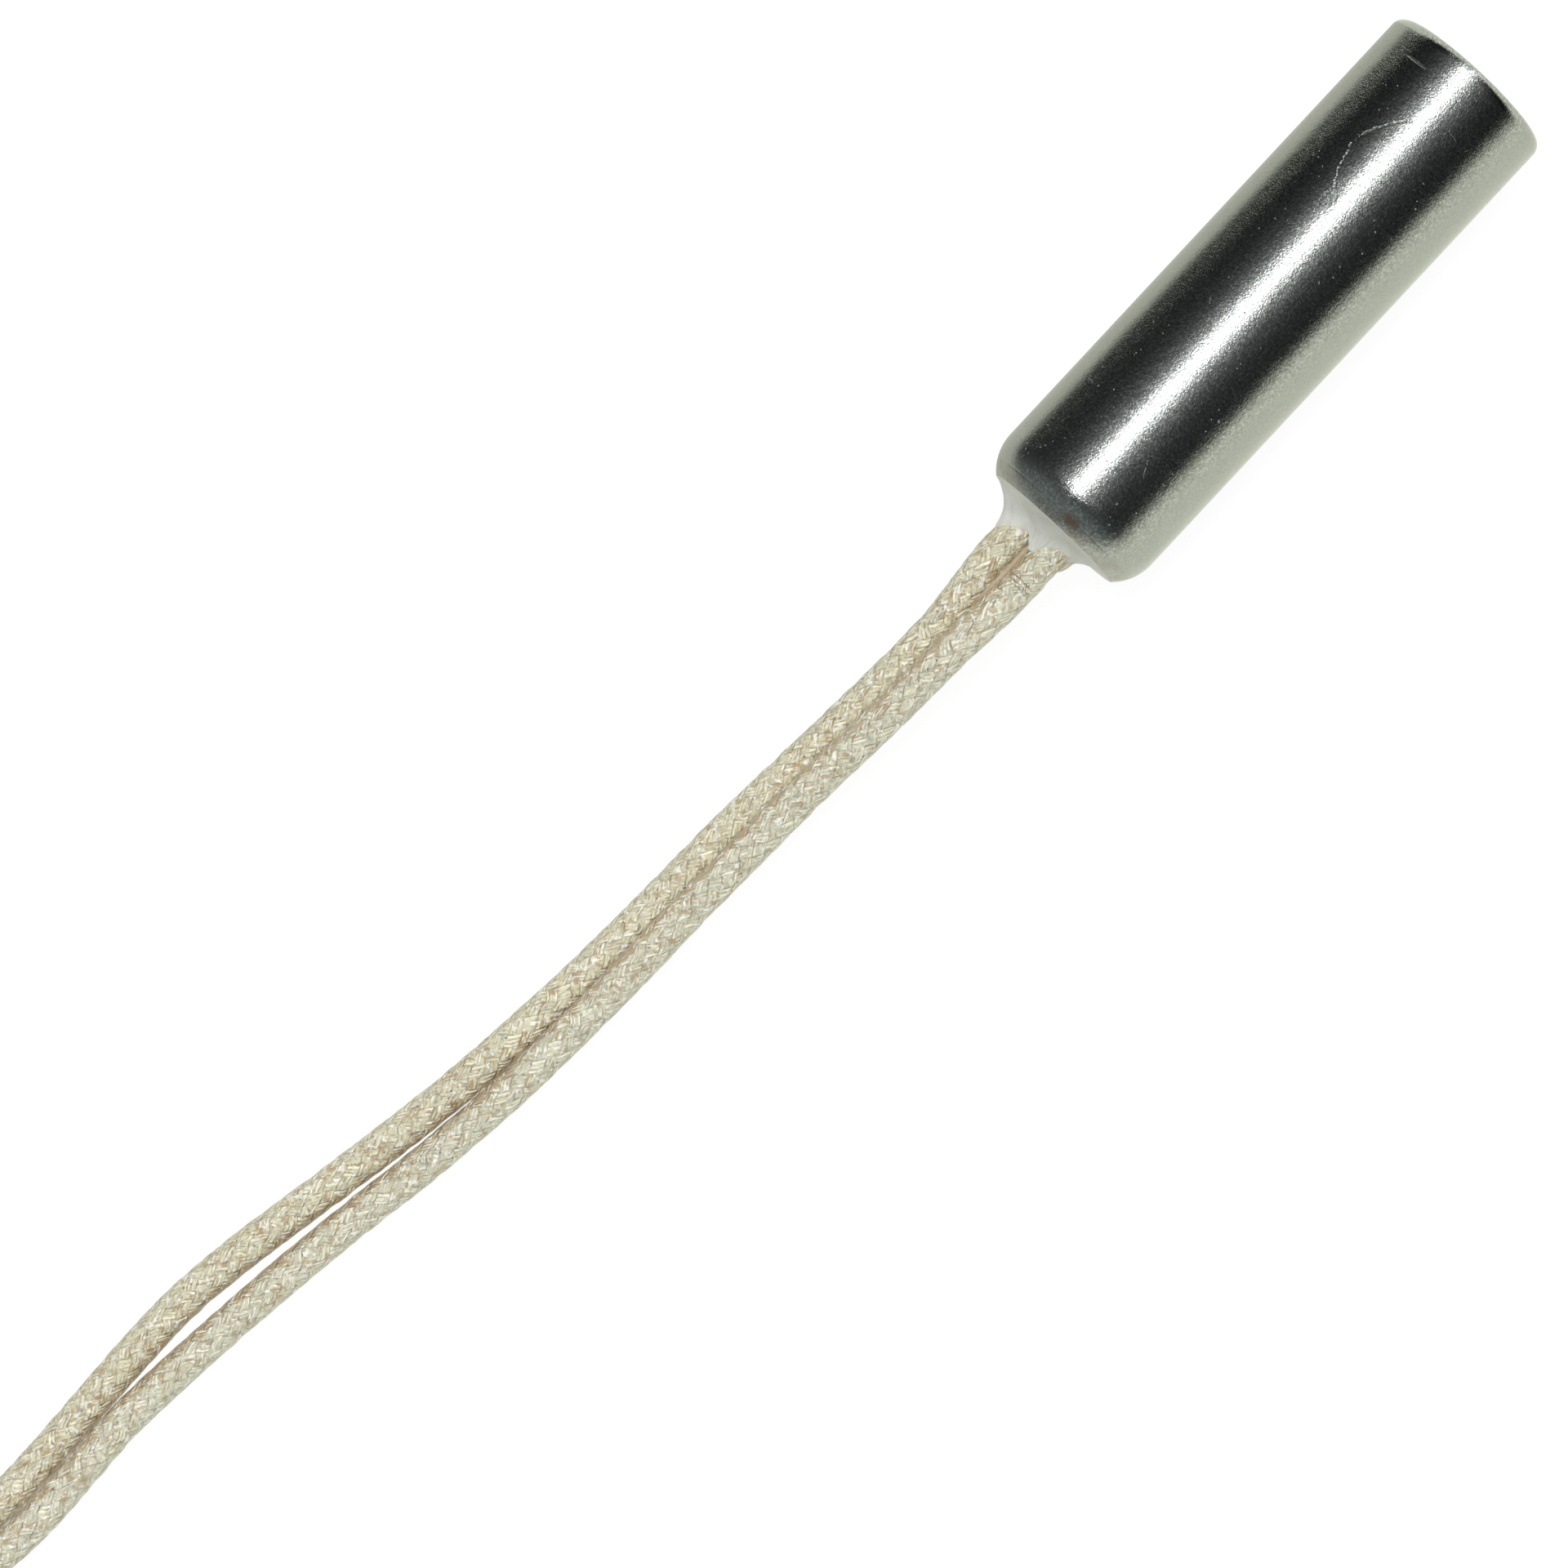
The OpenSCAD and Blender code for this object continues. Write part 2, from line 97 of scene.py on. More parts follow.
ROUTE_B = [
    (0, -0.44, 0), (-1, -0.44, 0), (-2, -0.41, 0.36), (-3.5, -0.3, 0.38), (-5.5, -0.22, 0.03),
    (-7.5, -0.12, -0.38), (-9.5, 0, -0.78), (-11.5, 0.08, -1.13), (-13.5, 0.14, -1.41),
    (-15.5, 0.19, -1.56), (-17.5, 0.21, -1.62), (-19.5, 0.26, -1.72), (-21.5, 0.34, -1.84),
    (-23.5, 0.46, -2.02), (-25.5, 0.66, -2.24), (-27.5, 0.92, -2.38), (-29.5, 1.24, -2.4),
    (-31.5, 1.52, -2.4), (-33.5, 1.76, -2.4), (-35.5, 1.96, -2.4), (-37.5, 2.14, -2.4),
    (-39.5, 2.25, -1.98), (-41.5, 2.18, -1.92), (-43.5, 2.14, -1.9), (-45, 2.25, -1.8),
    (-46.5, 2.55, -1.45), (-48, 3.15, -0.66), (-49.5, 3.68, -0.1), (-50.5, 3.8, 0), (-51, 3.8, 0),
]

# From the hank to the end of the braid, as (distance past the hank, y, z) in millimetres
TAIL_A = [
    (0, 3.8, -1.2), (-1, 3.8, -1.2), (-2.5, 3.75, -1.45), (-4, 3.62, -1.86), (-5.5, 3.5, -2.1),
    (-7, 3.5, -2.1), (-9, 3.5, -2.1), (-11.5, 3.5, -2.1), (-14.5, 3.5, -2.1),
]
TAIL_B = [
    (0, 3.8, 1.2), (-1, 3.8, 1.2), (-2.5, 3.55, 0.8), (-4, 2.95, -0.1), (-5.5, 2.2, -1.05),
    (-7, 1.65, -1.78), (-8.5, 1.5, -2.1), (-9.5, 1.5, -2.1), (-11.5, 1.5, -2.1),
    (-14.5, 1.5, -2.1),
]

# The hank: each lead lies in two columns and two layers of it
LEAD_D = 2 * LEAD_R
FOLD_R = 0.0032                     # the inner column's end loops
EAR_L = 0.0035                      # straight stub where a lead joins or leaves the hank
EAST_X = HANK_HIGH.x - FOLD_R - LEAD_D - LEAD_R
WEST_X = HANK_LOW.x + FOLD_R + LEAD_D + LEAD_R
HANK_Y = MM * ROUTE_A[-1][1] - FOLD_R - LEAD_D
MID_X = (EAST_X + WEST_X) / 2
WAIST_HALF = 0.002                  # half of the waist's length, under the tie
WAIST_TOP_Z = 0.0012                # the top layer doesn't sink at the waist
WAIST_LAYER = 0.001067              # the layers are pressed this close there
LAYERS = 4
HANK_STEP = 0.0004


def ease(t):
    t = min(max(t, 0), 1)
    return t * t * (3 - 2 * t)


def hank_path(lead):
    """Points of the three and a half turns that lead 0 or 1 makes in the hank."""
    points = []
    inner, outer = FOLD_R, FOLD_R + LEAD_D
    reach = (EAST_X - WEST_X) / 2 - WAIST_HALF

    def height(layer, spread=1.0):
        deep = LAYERS - 1 - layer - 2 * lead
        full = FLOOR_Z + LEAD_R + (LAYERS - 1 - deep) * LEAD_D
        pressed = WAIST_TOP_Z - deep * WAIST_LAYER
        return pressed + (full - pressed) * spread

    def straight(x0, x1, side, column, layer):
        steps = round(abs(x1 - x0) / HANK_STEP)
        for x in np.linspace(x0, x1, steps, endpoint=False):
            spread = ease((abs(x - MID_X) - WAIST_HALF) / reach)
            lateral = column(x) - (FOLD_R - LEAD_R) * (1 - spread)
            points.append((x, HANK_Y + side * lateral, height(layer(x), spread)))

    def loop(centre_x, start, column0, column1, layer):
        steps = round(math.pi * column0 / HANK_STEP)
        for t in np.linspace(0, 1, steps, endpoint=False):
            a = math.radians(start + 180 * t)
            r = column0 + (column1 - column0) * ease(t)
            points.append((centre_x + r * math.cos(a), HANK_Y + r * math.sin(a), height(layer)))

    def westward(column, layer):
        straight(EAST_X, WEST_X, 1, lambda x: column, lambda x: layer)

    def eastward(column, layer):
        straight(WEST_X, EAST_X, -1, column, layer)

    westward(outer, 0)
    loop(WEST_X, 90, outer, outer, 0)
    eastward(lambda x: outer, lambda x: 0)
    loop(EAST_X, -90, outer, inner, 0)
    westward(inner, 0)
    loop(WEST_X, 90, inner, inner, 0)
    eastward(lambda x: inner, lambda x: ease((x - MID_X - WAIST_HALF) / reach))
    loop(EAST_X, -90, inner, inner, 1)
    westward(inner, 1)
    loop(WEST_X, 90, inner, inner, 1)
    eastward(lambda x: inner + LEAD_D * ease((x - WEST_X) / reach), lambda x: 1)
    loop(EAST_X, -90, outer, outer, 1)
    westward(outer, 1)
    return points


def through(points, step):
    """A smooth line through the points, as points a step apart."""
    p = np.array(points, float)
    t = np.concatenate([[0], np.cumsum(np.linalg.norm(np.diff(p, axis=0), axis=1))])
    slope = np.gradient(p, t, axis=0)
    at = np.linspace(0, t[-1], max(2, round(t[-1] / step) + 1))
    k = np.clip(np.searchsorted(t, at, side="right") - 1, 0, len(t) - 2)
    h = (t[k + 1] - t[k])[:, None]
    u = ((at - t[k])[:, None]) / h
    return ((2 * u**3 - 3 * u**2 + 1) * p[k] + (u**3 - 2 * u**2 + u) * h * slope[k]
            + (3 * u**2 - 2 * u**3) * p[k + 1] + (u**3 - u**2) * h * slope[k + 1])


def length_of(line):
    return float(np.linalg.norm(np.diff(line, axis=0), axis=1).sum())


BRAID_START_X = RIM_X + 0.00045     # under the cement, which wets the braid unevenly
LINE_STEP = 0.00002                 # between two points of a centreline


def lead_line(lead, route, tail):
    """The whole centreline of one lead, from under the cement to the end of its braid."""
    tail_x = WEST_X - EAR_L
    out = [(OUTLET_X + MM * x, MM * y, MM * z) for x, y, z in route]
    end = [(tail_x + MM * x, MM * y, MM * z) for x, y, z in tail]
    start = (BRAID_START_X, *out[0][1:])
    return through([start, *out, *hank_path(lead), *end], LINE_STEP)


LINES = [lead_line(0, ROUTE_A, TAIL_A), lead_line(1, ROUTE_B, TAIL_B)]

# ------------ mesh helpers


def new_piece(name, vertices, faces, material, uvs=None, replaces=(), crisp=None):
    """A smooth-shaded mesh that rides on the object's one body. Edges sharper than crisp
    degrees stay sharp."""
    mesh = bpy.data.meshes.new(name)
    mesh.from_pydata([tuple(v) for v in vertices], [], faces)
    mesh.materials.append(material)
    mesh.polygons.foreach_set("use_smooth", [True] * len(mesh.polygons))
    if uvs is not None:
        layer = mesh.uv_layers.new(name="UVMap")
        layer.data.foreach_set("uv", np.asarray(uvs, np.float32).ravel())
    mesh.validate()
    mesh.update()
    if crisp:
        mesh.set_sharp_from_angle(angle=math.radians(crisp))
    piece = bpy.data.objects.new(name, mesh)
    bpy.context.scene.collection.objects.link(piece)
    if replaces:
        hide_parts(*replaces)
    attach(piece, "root")
    return piece


def frames_along(line):
    """Sideways and upward unit vectors at each point of a line that never runs upright."""
    along = np.gradient(line, axis=0)
    along /= np.linalg.norm(along, axis=1)[:, None]
    side = np.cross(along, (0, 0, 1))
    side /= np.linalg.norm(side, axis=1)[:, None]
    return side, np.cross(side, along)


def turned(name, profile, sides, material, replaces=(), centre=(0, 0), shape=None):
    """A solid of revolution about a line along X. The profile is a list of (radius, x) that
    starts and ends on the axis, or a closed outline clear of it. shape(x, angle, radius)
    may change the radius."""
    ring = np.arange(sides) * 2 * math.pi / sides
    solid = profile[0][0] == 0
    vertices, rows = [], []
    for r, x in profile:
        if r == 0:
            rows.append([len(vertices)])
            vertices.append((x, centre[0], centre[1]))
            continue
        rows.append(list(range(len(vertices), len(vertices) + sides)))
        radius = np.full(sides, r) if shape is None else shape(x, ring, r)
        vertices.extend(zip(np.full(sides, x), centre[0] + radius * np.cos(ring),
                            centre[1] + radius * np.sin(ring)))
    pairs = list(zip(rows[:-1], rows[1:])) + ([] if solid else [(rows[-1], rows[0])])
    faces = []
    for a, b in pairs:
        for k in range(sides):
            n = (k + 1) % sides
            if len(a) == 1:
                faces.append((a[0], b[n], b[k]))
            elif len(b) == 1:
                faces.append((a[k], a[n], b[0]))
            else:
                faces.append((a[k], a[n], b[n], b[k]))
    return new_piece(name, vertices, faces, material, replaces=replaces, crisp=35)


def swept(rings, closed=False):
    """Vertices and faces of a tube through rings of points. Unless it is closed, it has caps."""
    count, sides = len(rings), len(rings[0])
    vertices = [tuple(p) for ring in rings for p in ring]
    faces = []
    for i in range(count if closed else count - 1):
        a, b = i * sides, (i + 1) % count * sides
        for k in range(sides):
            n = (k + 1) % sides
            faces.append((a + k, a + n, b + n, b + k))
    if not closed:
        faces.append(tuple(range(sides - 1, -1, -1)))
        faces.append(tuple(range((count - 1) * sides, count * sides)))
    return vertices, faces


def joined(parts):
    """Several (vertices, faces) as one."""
    vertices, faces = [], []
    for more, sides in parts:
        start = len(vertices)
        vertices.extend(more)
        faces.extend(tuple(start + k for k in face) for face in sides)
    return vertices, faces


def outlined(name, parts, material, replaces=(), crisp=35):
    """A piece from (vertices, faces) parts, with its faces turned outwards."""
    vertices, faces = joined(parts)
    piece = new_piece(name, vertices, faces, material, replaces=replaces)
    shape = bmesh.new()
    shape.from_mesh(piece.data)
    bmesh.ops.recalc_face_normals(shape, faces=shape.faces)
    shape.to_mesh(piece.data)
    shape.free()
    piece.data.set_sharp_from_angle(angle=math.radians(crisp))
    return piece


def arc(cx, cy, r, a0, a1, steps):
    """Points (radius, x) on an arc, from angle a0 to a1 in degrees."""
    turn = np.radians(np.linspace(a0, a1, steps))
    return list(zip(cx + r * np.cos(turn), cy + r * np.sin(turn)))


# ------------ material helpers


def feed(socket, value):
    """Links an input to another node's output, or gives it a value or colour."""
    if isinstance(value, bpy.types.NodeSocket):
        value.id_data.links.new(value, socket)
    elif hasattr(value, "__len__") and len(socket.default_value) > len(value):
        socket.default_value = (*value, 1)
    else:
        socket.default_value = value


def add(kind, inputs, **settings):
    """A new node in the tree of the outputs that feed it."""
    fed_by = [value for value in inputs.values() if isinstance(value, bpy.types.NodeSocket)]
    node = fed_by[0].id_data.nodes.new(kind)
    for key, value in settings.items():
        setattr(node, key, value)
    for key, value in inputs.items():
        feed(node.inputs[key], value)
    return node


def math_node(operation, *values):
    return add("ShaderNodeMath", dict(enumerate(values)), operation=operation).outputs[0]


def times(a, b):
    return math_node("MULTIPLY", a, b)


def plus(a, b):
    return math_node("ADD", a, b)


def minus(a, b):
    return math_node("SUBTRACT", a, b)


def larger(a, b):
    return math_node("MAXIMUM", a, b)


def absolute(a):
    return math_node("ABSOLUTE", a)


def vector(x, y, z=0.0):
    return add("ShaderNodeCombineXYZ", {"X": x, "Y": y, "Z": z}).outputs[0]


def scaled(source, x, y, z):
    node = add("ShaderNodeVectorMath", {0: source, 1: (x, y, z)}, operation="MULTIPLY")
    return node.outputs[0]


def noise(source, scale, detail=2.0, roughness=0.5, distortion=0.0):
    inputs = {"Vector": source, "Scale": scale, "Detail": detail,
              "Roughness": roughness, "Distortion": distortion}
    return add("ShaderNodeTexNoise", inputs).outputs["Fac"]


def band(value, low, high, start=0.0, end=1.0):
    """A smooth step from start to end as the value goes from low to high."""
    inputs = {"Value": value, "From Min": low, "From Max": high, "To Min": start, "To Max": end}
    return add("ShaderNodeMapRange", inputs, interpolation_type="SMOOTHSTEP").outputs[0]


def mixed(factor, a, b):
    return add("ShaderNodeMix", {0: factor, 6: a, 7: b}, data_type="RGBA").outputs[2]


def shade(colour, factor):
    return [factor * c for c in colour]


def distance_to(x, y, at_x, at_y, squeeze=1.0):
    """How far a place is from a point, with the X distance weighted."""
    dx = times(minus(x, at_x), squeeze)
    dy = minus(y, at_y)
    offset = {0: vector(dx, dy)}
    return add("ShaderNodeVectorMath", offset, operation="LENGTH").outputs[1]


def ramp(factor, *stops):
    """Stops are (place, colour)."""
    node = add("ShaderNodeValToRGB", {"Fac": factor})
    while len(node.color_ramp.elements) < len(stops):
        node.color_ramp.elements.new(0.5)
    for element, (place, colour) in zip(node.color_ramp.elements, stops):
        element.position = place
        element.color = (*colour, 1)
    return node.outputs["Color"]


def bump(height, distance, normal=None):
    inputs = {"Height": height, "Distance": distance, "Strength": 1.0}
    if normal is not None:
        inputs["Normal"] = normal
    return add("ShaderNodeBump", inputs).outputs["Normal"]


def new_material(name):
    """A material with its Principled shader, and positions in millimetres."""
    material = bpy.data.materials.new(name)
    material.use_nodes = True
    tree = material.node_tree
    place = tree.nodes.new("ShaderNodeTexCoord").outputs["Object"]
    shader = tree.nodes["Principled BSDF"]
    return material, shader, scaled(place, 1 / MM, 1 / MM, 1 / MM)


def setup(shader, **sockets):
    for key, value in sockets.items():
        feed(shader.inputs[key.replace("_", " ")], value)


# ------------ materials

# Marks on the capsule's top, as (x, y) in millimetres
SCRATCH_CENTRE, SCRATCH_R = (-4.30, -0.77), 2.10
SCUFF = (-6.1, 0.72)
NICK = (-1.08, 1.6)
STAIN = (-18.68, -0.25)
GROOVE_X = -18.62                   # where the wall starts to roll in


def capsule_steel():
    """Drawn and tumbled stainless steel: fine grain, scratches, a brown stain at the mouth, and
    painted glint speckle in its colour.
    """
    material, shader, mm = new_material("capsule_steel")
    x, y, z = add("ShaderNodeSeparateXYZ", {0: mm}).outputs
    on_top = math_node("GREATER_THAN", z, 0.5)
    grain = noise(mm, 7.0, 3.0, 0.6)
    fine = noise(mm, 20.0, 2.0, 0.6)
    dents = noise(mm, 1.3, 2.0, 0.5)
    # Stray scratches: thin contour lines of a slow noise, kept only in patches
    slow = noise(mm, 0.7, 1.5, 0.5, 0.8)
    line = absolute(minus(slow, 0.5))
    patch = band(noise(mm, 0.9, 1.0), 0.66, 0.74, 0.0, 0.6)
    stray = times(band(line, 0.0, 0.005, 1, 0), patch)
    # One curved scratch beside the highlight, broken up, and the scuffs that it ends in
    wobble = times(minus(noise(mm, 1.7), 0.5), 0.35)
    off = minus(distance_to(x, y, *SCRATCH_CENTRE), SCRATCH_R)
    off = absolute(plus(off, wobble))
    curve = band(off, 0.015, 0.05, 1, 0)
    curve = times(curve, band(noise(mm, 6.0), 0.46, 0.56, 0.05, 0.9))
    curve = times(curve, band(y, 0.42, 0.60))
    scuff = band(distance_to(x, y, *SCUFF, 0.45), 0.35, 0.05, 0, 1)
    scuff = times(scuff, band(noise(mm, 8.0, 2.0), 0.50, 0.58))
    nick = band(distance_to(x, y, *NICK, 11.0), 0.50, 0.30, 0, 0.8)
    marks = larger(larger(curve, scuff), nick)
    marks = larger(stray, times(marks, on_top))
    # Pin-prick specks, thick near the highlight's foot
    cells = add("ShaderNodeTexVoronoi", {"Vector": mm, "Scale": 4.5})
    speck = band(cells.outputs["Distance"], 0.05, 0.13, 1, 0)
    crowd = band(x, -12, -17.8, 0.0, 0.16)
    rare = plus(noise(mm, 1.1, 1.0), crowd)
    speck = times(speck, band(rare, 0.56, 0.62))
    # A brown stain at the mouth and a faint tint round the rim
    stain = band(distance_to(x, y, *STAIN, 1.6), 0.45, 0.08, 0, 1)
    stain = times(stain, on_top)
    rim = band(x, -18.45, -18.9, 0.0, 0.3)
    rim = times(rim, band(noise(mm, 3.0, 3.0), 0.38, 0.62))
    tint = larger(times(stain, 0.8), rim)
    colour = mixed(dents, (0.41, 0.42, 0.41), (0.44, 0.45, 0.435))
    # Painted glint speckle: dark and bright teal flecks in the steel's colour, most on the top and
    # bottom, standing in for the grain's glints along the highlight
    glint_speckle_noise = noise(mm, 11.0, 3.0, 0.7)
    glint_speckle_reach = band(absolute(z), 1.7, 2.6, 0.2, 1.0)
    dull = times(band(glint_speckle_noise, 0.36, 0.50, 0.75, 0), glint_speckle_reach)
    painted_bright_speckle = times(band(glint_speckle_noise, 0.52, 0.66, 0, 0.85), glint_speckle_reach)
    colour = mixed(dull, colour, (0.22, 0.25, 0.245))
    colour = mixed(painted_bright_speckle, colour, (0.66, 0.71, 0.69))
    colour = mixed(tint, colour, (0.30, 0.19, 0.12))
    colour = mixed(times(marks, 0.3), colour, (0.70, 0.76, 0.74))
    rough = band(grain, 0.3, 0.75, 0.12, 0.20)
    rough = plus(rough, band(x, -18.0, -18.8, 0.0, 0.15))
    rough = plus(rough, times(marks, 0.22))
    height = plus(grain, times(fine, 1.7))
    height = plus(height, times(dents, 1.6))
    normal = bump(height, 0.0000042)
    normal = bump(larger(marks, speck), -0.000010, normal=normal)
    groove = band(absolute(minus(x, GROOVE_X)), 0.0, 0.05, 1, 0)
    normal = bump(groove, -0.000005, normal=normal)
    setup(shader, Base_Color=colour, Metallic=1.0, Roughness=rough, Normal=normal)
    return material


def cement():
    """Pale, dense potting cement with a faint mottle and darker spots of painted pit shade."""
    material, shader, mm = new_material("potting_cement")
    mottle = noise(mm, 1.8, 4.0, 0.6)
    grain = noise(mm, 14.0, 3.0, 0.6)
    colour = ramp(mottle, (0.3, (0.60, 0.605, 0.56)), (0.7, (0.70, 0.705, 0.65)))
    # Darker spots: painted shade of pits, which the shape itself doesn't have
    pit_shade = band(noise(mm, 5.0, 1.0), 0.28, 0.22, 0, 1)
    colour = mixed(times(pit_shade, 0.35), colour, (0.42, 0.40, 0.36))
    rough = band(grain, 0.3, 0.7, 0.45, 0.62)
    height = plus(grain, times(mottle, 0.7))
    setup(shader, Base_Color=colour, Roughness=rough, Normal=bump(height, 0.000012))
    return material


YARNS = 8                           # run each way round a lead
ENDS = 3                            # in each yarn, side by side
BRAID_ANGLE = math.radians(33)      # between yarn and lead
BRAID_LAY = 2 * math.pi * LEAD_R / math.tan(BRAID_ANGLE)    # one yarn's turn round the lead


def braid(name, yarn, tan, fibre_shadow_grey, shaded_turn):
    """Varnished glass yarn, braided, with painted glints and painted shade in its colour. The UV
    map gives turns round the lead and lays along it. shaded_turn is the turn at which the other
    lead touches this one; painted groove shade browns the colour towards it."""
    material, shader, mm = new_material(name)
    uv = material.node_tree.nodes.new("ShaderNodeUVMap").outputs[0]
    turns, lays = add("ShaderNodeSeparateXYZ", {0: uv}).outputs[:2]
    rights = times(plus(turns, lays), YARNS)
    lefts = times(minus(turns, lays), YARNS)
    right_id = math_node("ROUND", rights)
    left_id = math_node("ROUND", lefts)
    over = math_node("PINGPONG", plus(right_id, left_id), 1.0)
    under = minus(1.0, over)

    def chosen(a, b):
        return plus(times(under, a), times(over, b))

    across = chosen(minus(rights, right_id), minus(lefts, left_id))
    along = chosen(lefts, rights)
    end_place = times(across, ENDS)
    end_id = math_node("ROUND", end_place)
    # Which stretch of which end this is, the same on both sides of the map's seam
    own = math_node("FLOORED_MODULO", right_id, float(YARNS))
    step = minus(right_id, left_id)
    key = vector(own, step, plus(end_id, times(over, 7.0)))
    chance = add("ShaderNodeTexWhiteNoise", {"Vector": key}).outputs["Value"]
    strokes = vector(times(across, 6.0), times(along, 1.6), times(chance, 9.0))
    fibre = noise(strokes, 1.0, 2.0, 0.6)
    blot = noise(mm, 4.0, 2.0, 0.6)
    small = noise(mm, 6.5, 2.0, 0.6)
    # The colour of the painted glints
    pale = [min(1.0, 1.25 * c + 0.16) for c in yarn]
    colour = mixed(band(fibre, 0.35, 0.65), shade(yarn, 0.84), shade(yarn, 1.14))
    tan_and_groove_shade = plus(times(chance, 0.14), blot)
    tan_and_groove_shade = plus(tan_and_groove_shade, band(fibre, 0.65, 0.30, -0.10, 0.12))
    # Painted shade in the groove where the other lead touches: browner towards that side
    side = absolute(minus(turns, shaded_turn))
    tan_and_groove_shade = plus(tan_and_groove_shade, band(side, 0.17, 0.03, 0.0, 0.34))
    # The tan colour serves both the tan patches and the painted groove shade
    colour = mixed(band(tan_and_groove_shade, 0.57, 0.76, 0.0, 0.9), colour, tan)
    # Painted shadow: small grey flecks among the fibres
    colour = mixed(band(small, 0.57, 0.67, 0.0, 0.95), colour, fibre_shadow_grey)
    # Painted glints: near-white strokes along the crests of the ends, in the colour
    shine = times(fibre, 0.65)
    shine = plus(shine, times(math_node("FRACT", times(chance, 31.0)), 0.35))
    crest = math_node("COSINE", times(end_place, 2 * math.pi))
    glint = times(band(shine, 0.56, 0.68), band(crest, -0.3, 0.6))
    colour = mixed(times(glint, 0.9), colour, pale)
    # Painted glints: near-white droplets in the colour, which also raise the bump
    glint_bead = noise(mm, 5.0, 1.5, 0.5, 0.6)
    colour = mixed(band(glint_bead, 0.58, 0.69, 0.0, 0.8), colour, (0.95, 0.95, 0.89))
    # Painted shade in the gaps between yarns: darker brown there
    gap = band(absolute(across), 0.38, 0.5)
    gap = times(gap, band(small, 0.35, 0.6))
    colour = mixed(times(gap, 0.6), colour, shade(tan, 0.62))
    dots = add("ShaderNodeTexVoronoi", {"Vector": mm, "Scale": 3.4})
    dot = band(dots.outputs["Distance"], 0.10, 0.17, 1, 0)
    dot = times(dot, band(noise(mm, 1.9, 0.0), 0.56, 0.62))
    colour = mixed(times(dot, 0.8), colour, (0.15, 0.14, 0.12))
    crown = math_node("SQRT", minus(1.0, times(times(across, across), 3.6)))
    height = plus(times(crest, 0.22), times(fibre, 1.0))
    height = plus(height, times(glint_bead, 1.6))
    height = plus(height, times(crown, 0.7))
    normal = bump(height, 0.00004)
    rough = band(small, 0.3, 0.7, 0.30, 0.55)
    setup(shader, Base_Color=colour, Roughness=rough, Coat_Weight=1.0, Coat_Roughness=0.14,
          Normal=normal, Coat_Normal=normal)
    return material


def mineral(name, colour, grain, rough, depth):
    """Powder or ceramic: grains of a size in millimetres, with a little mottle."""
    material, shader, mm = new_material(name)
    grains = noise(mm, 1 / grain, 3.0, 0.65)
    mottle = noise(mm, 0.9, 2.0)
    tone = mixed(band(grains, 0.3, 0.7), shade(colour, 0.82), colour)
    tone = mixed(band(mottle, 0.4, 0.75, 0, 0.4), tone, shade(colour, 0.7))
    setup(shader, Base_Color=tone, Roughness=band(grains, 0.3, 0.7, rough - 0.1, rough),
          Normal=bump(grains, depth))
    return material


def metal(name, colour, rough, stretch):
    """Drawn or crimped metal: streaks along the probe and a dull bloom."""
    material, shader, mm = new_material(name)
    streaks = noise(scaled(mm, 1.5, stretch, stretch), 1.0, 3.0, 0.6)
    bloom = noise(mm, 2.5, 3.0, 0.6)
    tone = mixed(band(bloom, 0.45, 0.7, 0, 0.5), colour, shade(colour, 0.6))
    setup(shader, Base_Color=tone, Metallic=1.0,
          Roughness=band(streaks, 0.3, 0.7, rough, rough + 0.18),
          Normal=bump(streaks, 0.000006))
    return material


def glass(name, colour, rough):
    """Fired glass over the element: glossy, with small bubbles."""
    material, shader, mm = new_material(name)
    cells = add("ShaderNodeTexVoronoi", {"Vector": mm, "Scale": 9.0})
    bubble = band(cells.outputs["Distance"], 0.08, 0.2, 1, 0)
    haze = noise(mm, 6.0, 2.0)
    tone = mixed(times(bubble, 0.5), colour, shade(colour, 1.3))
    setup(shader, Base_Color=tone, Roughness=band(haze, 0.3, 0.7, rough, rough + 0.1),
          Coat_Weight=0.6, Coat_Roughness=0.05, Normal=bump(bubble, 0.00001))
    return material


def yarn_tube(name, colour, pitch):
    """Glass yarn wound or woven into a plain tube along X: slanting threads."""
    material, shader, mm = new_material(name)
    x, y, z = add("ShaderNodeSeparateXYZ", {0: mm}).outputs
    angle = math_node("ARCTAN2", z, y)
    slant = plus(times(x, 2 * math.pi / pitch), angle)
    thread = math_node("SINE", slant)
    fuzz = noise(mm, 12.0, 3.0, 0.7)
    # Painted shade: darker between the threads, where the bump is low
    tone = mixed(band(thread, -1, 0.6), shade(colour, 0.6), colour)
    tone = mixed(band(fuzz, 0.4, 0.7, 0, 0.4), tone, shade(colour, 0.75))
    height = plus(thread, fuzz)
    setup(shader, Base_Color=tone, Roughness=band(fuzz, 0.3, 0.7, 0.5, 0.75),
          Normal=bump(height, 0.00002))
    return material


def soft_plastic(name, colour, rough, grain):
    """Moulded or extruded plastic or rubber: fine satin grain and scuffs."""
    material, shader, mm = new_material(name)
    fine = noise(mm, grain, 3.0, 0.6)
    scuff = noise(scaled(mm, 0.8, 5, 5), 1.0, 3.0, 0.6)
    worn = band(scuff, 0.55, 0.7, 0, 0.35)
    tone = mixed(worn, colour, [min(1, 1.35 * c + 0.03) for c in colour])
    tone = mixed(band(fine, 0.4, 0.7, 0, 0.25), tone, shade(colour, 0.75))
    setup(shader, Base_Color=tone, Roughness=band(fine, 0.3, 0.7, rough, rough + 0.15),
          Normal=bump(fine, 0.00001))
    return material


STEEL = capsule_steel()
CEMENT = cement()
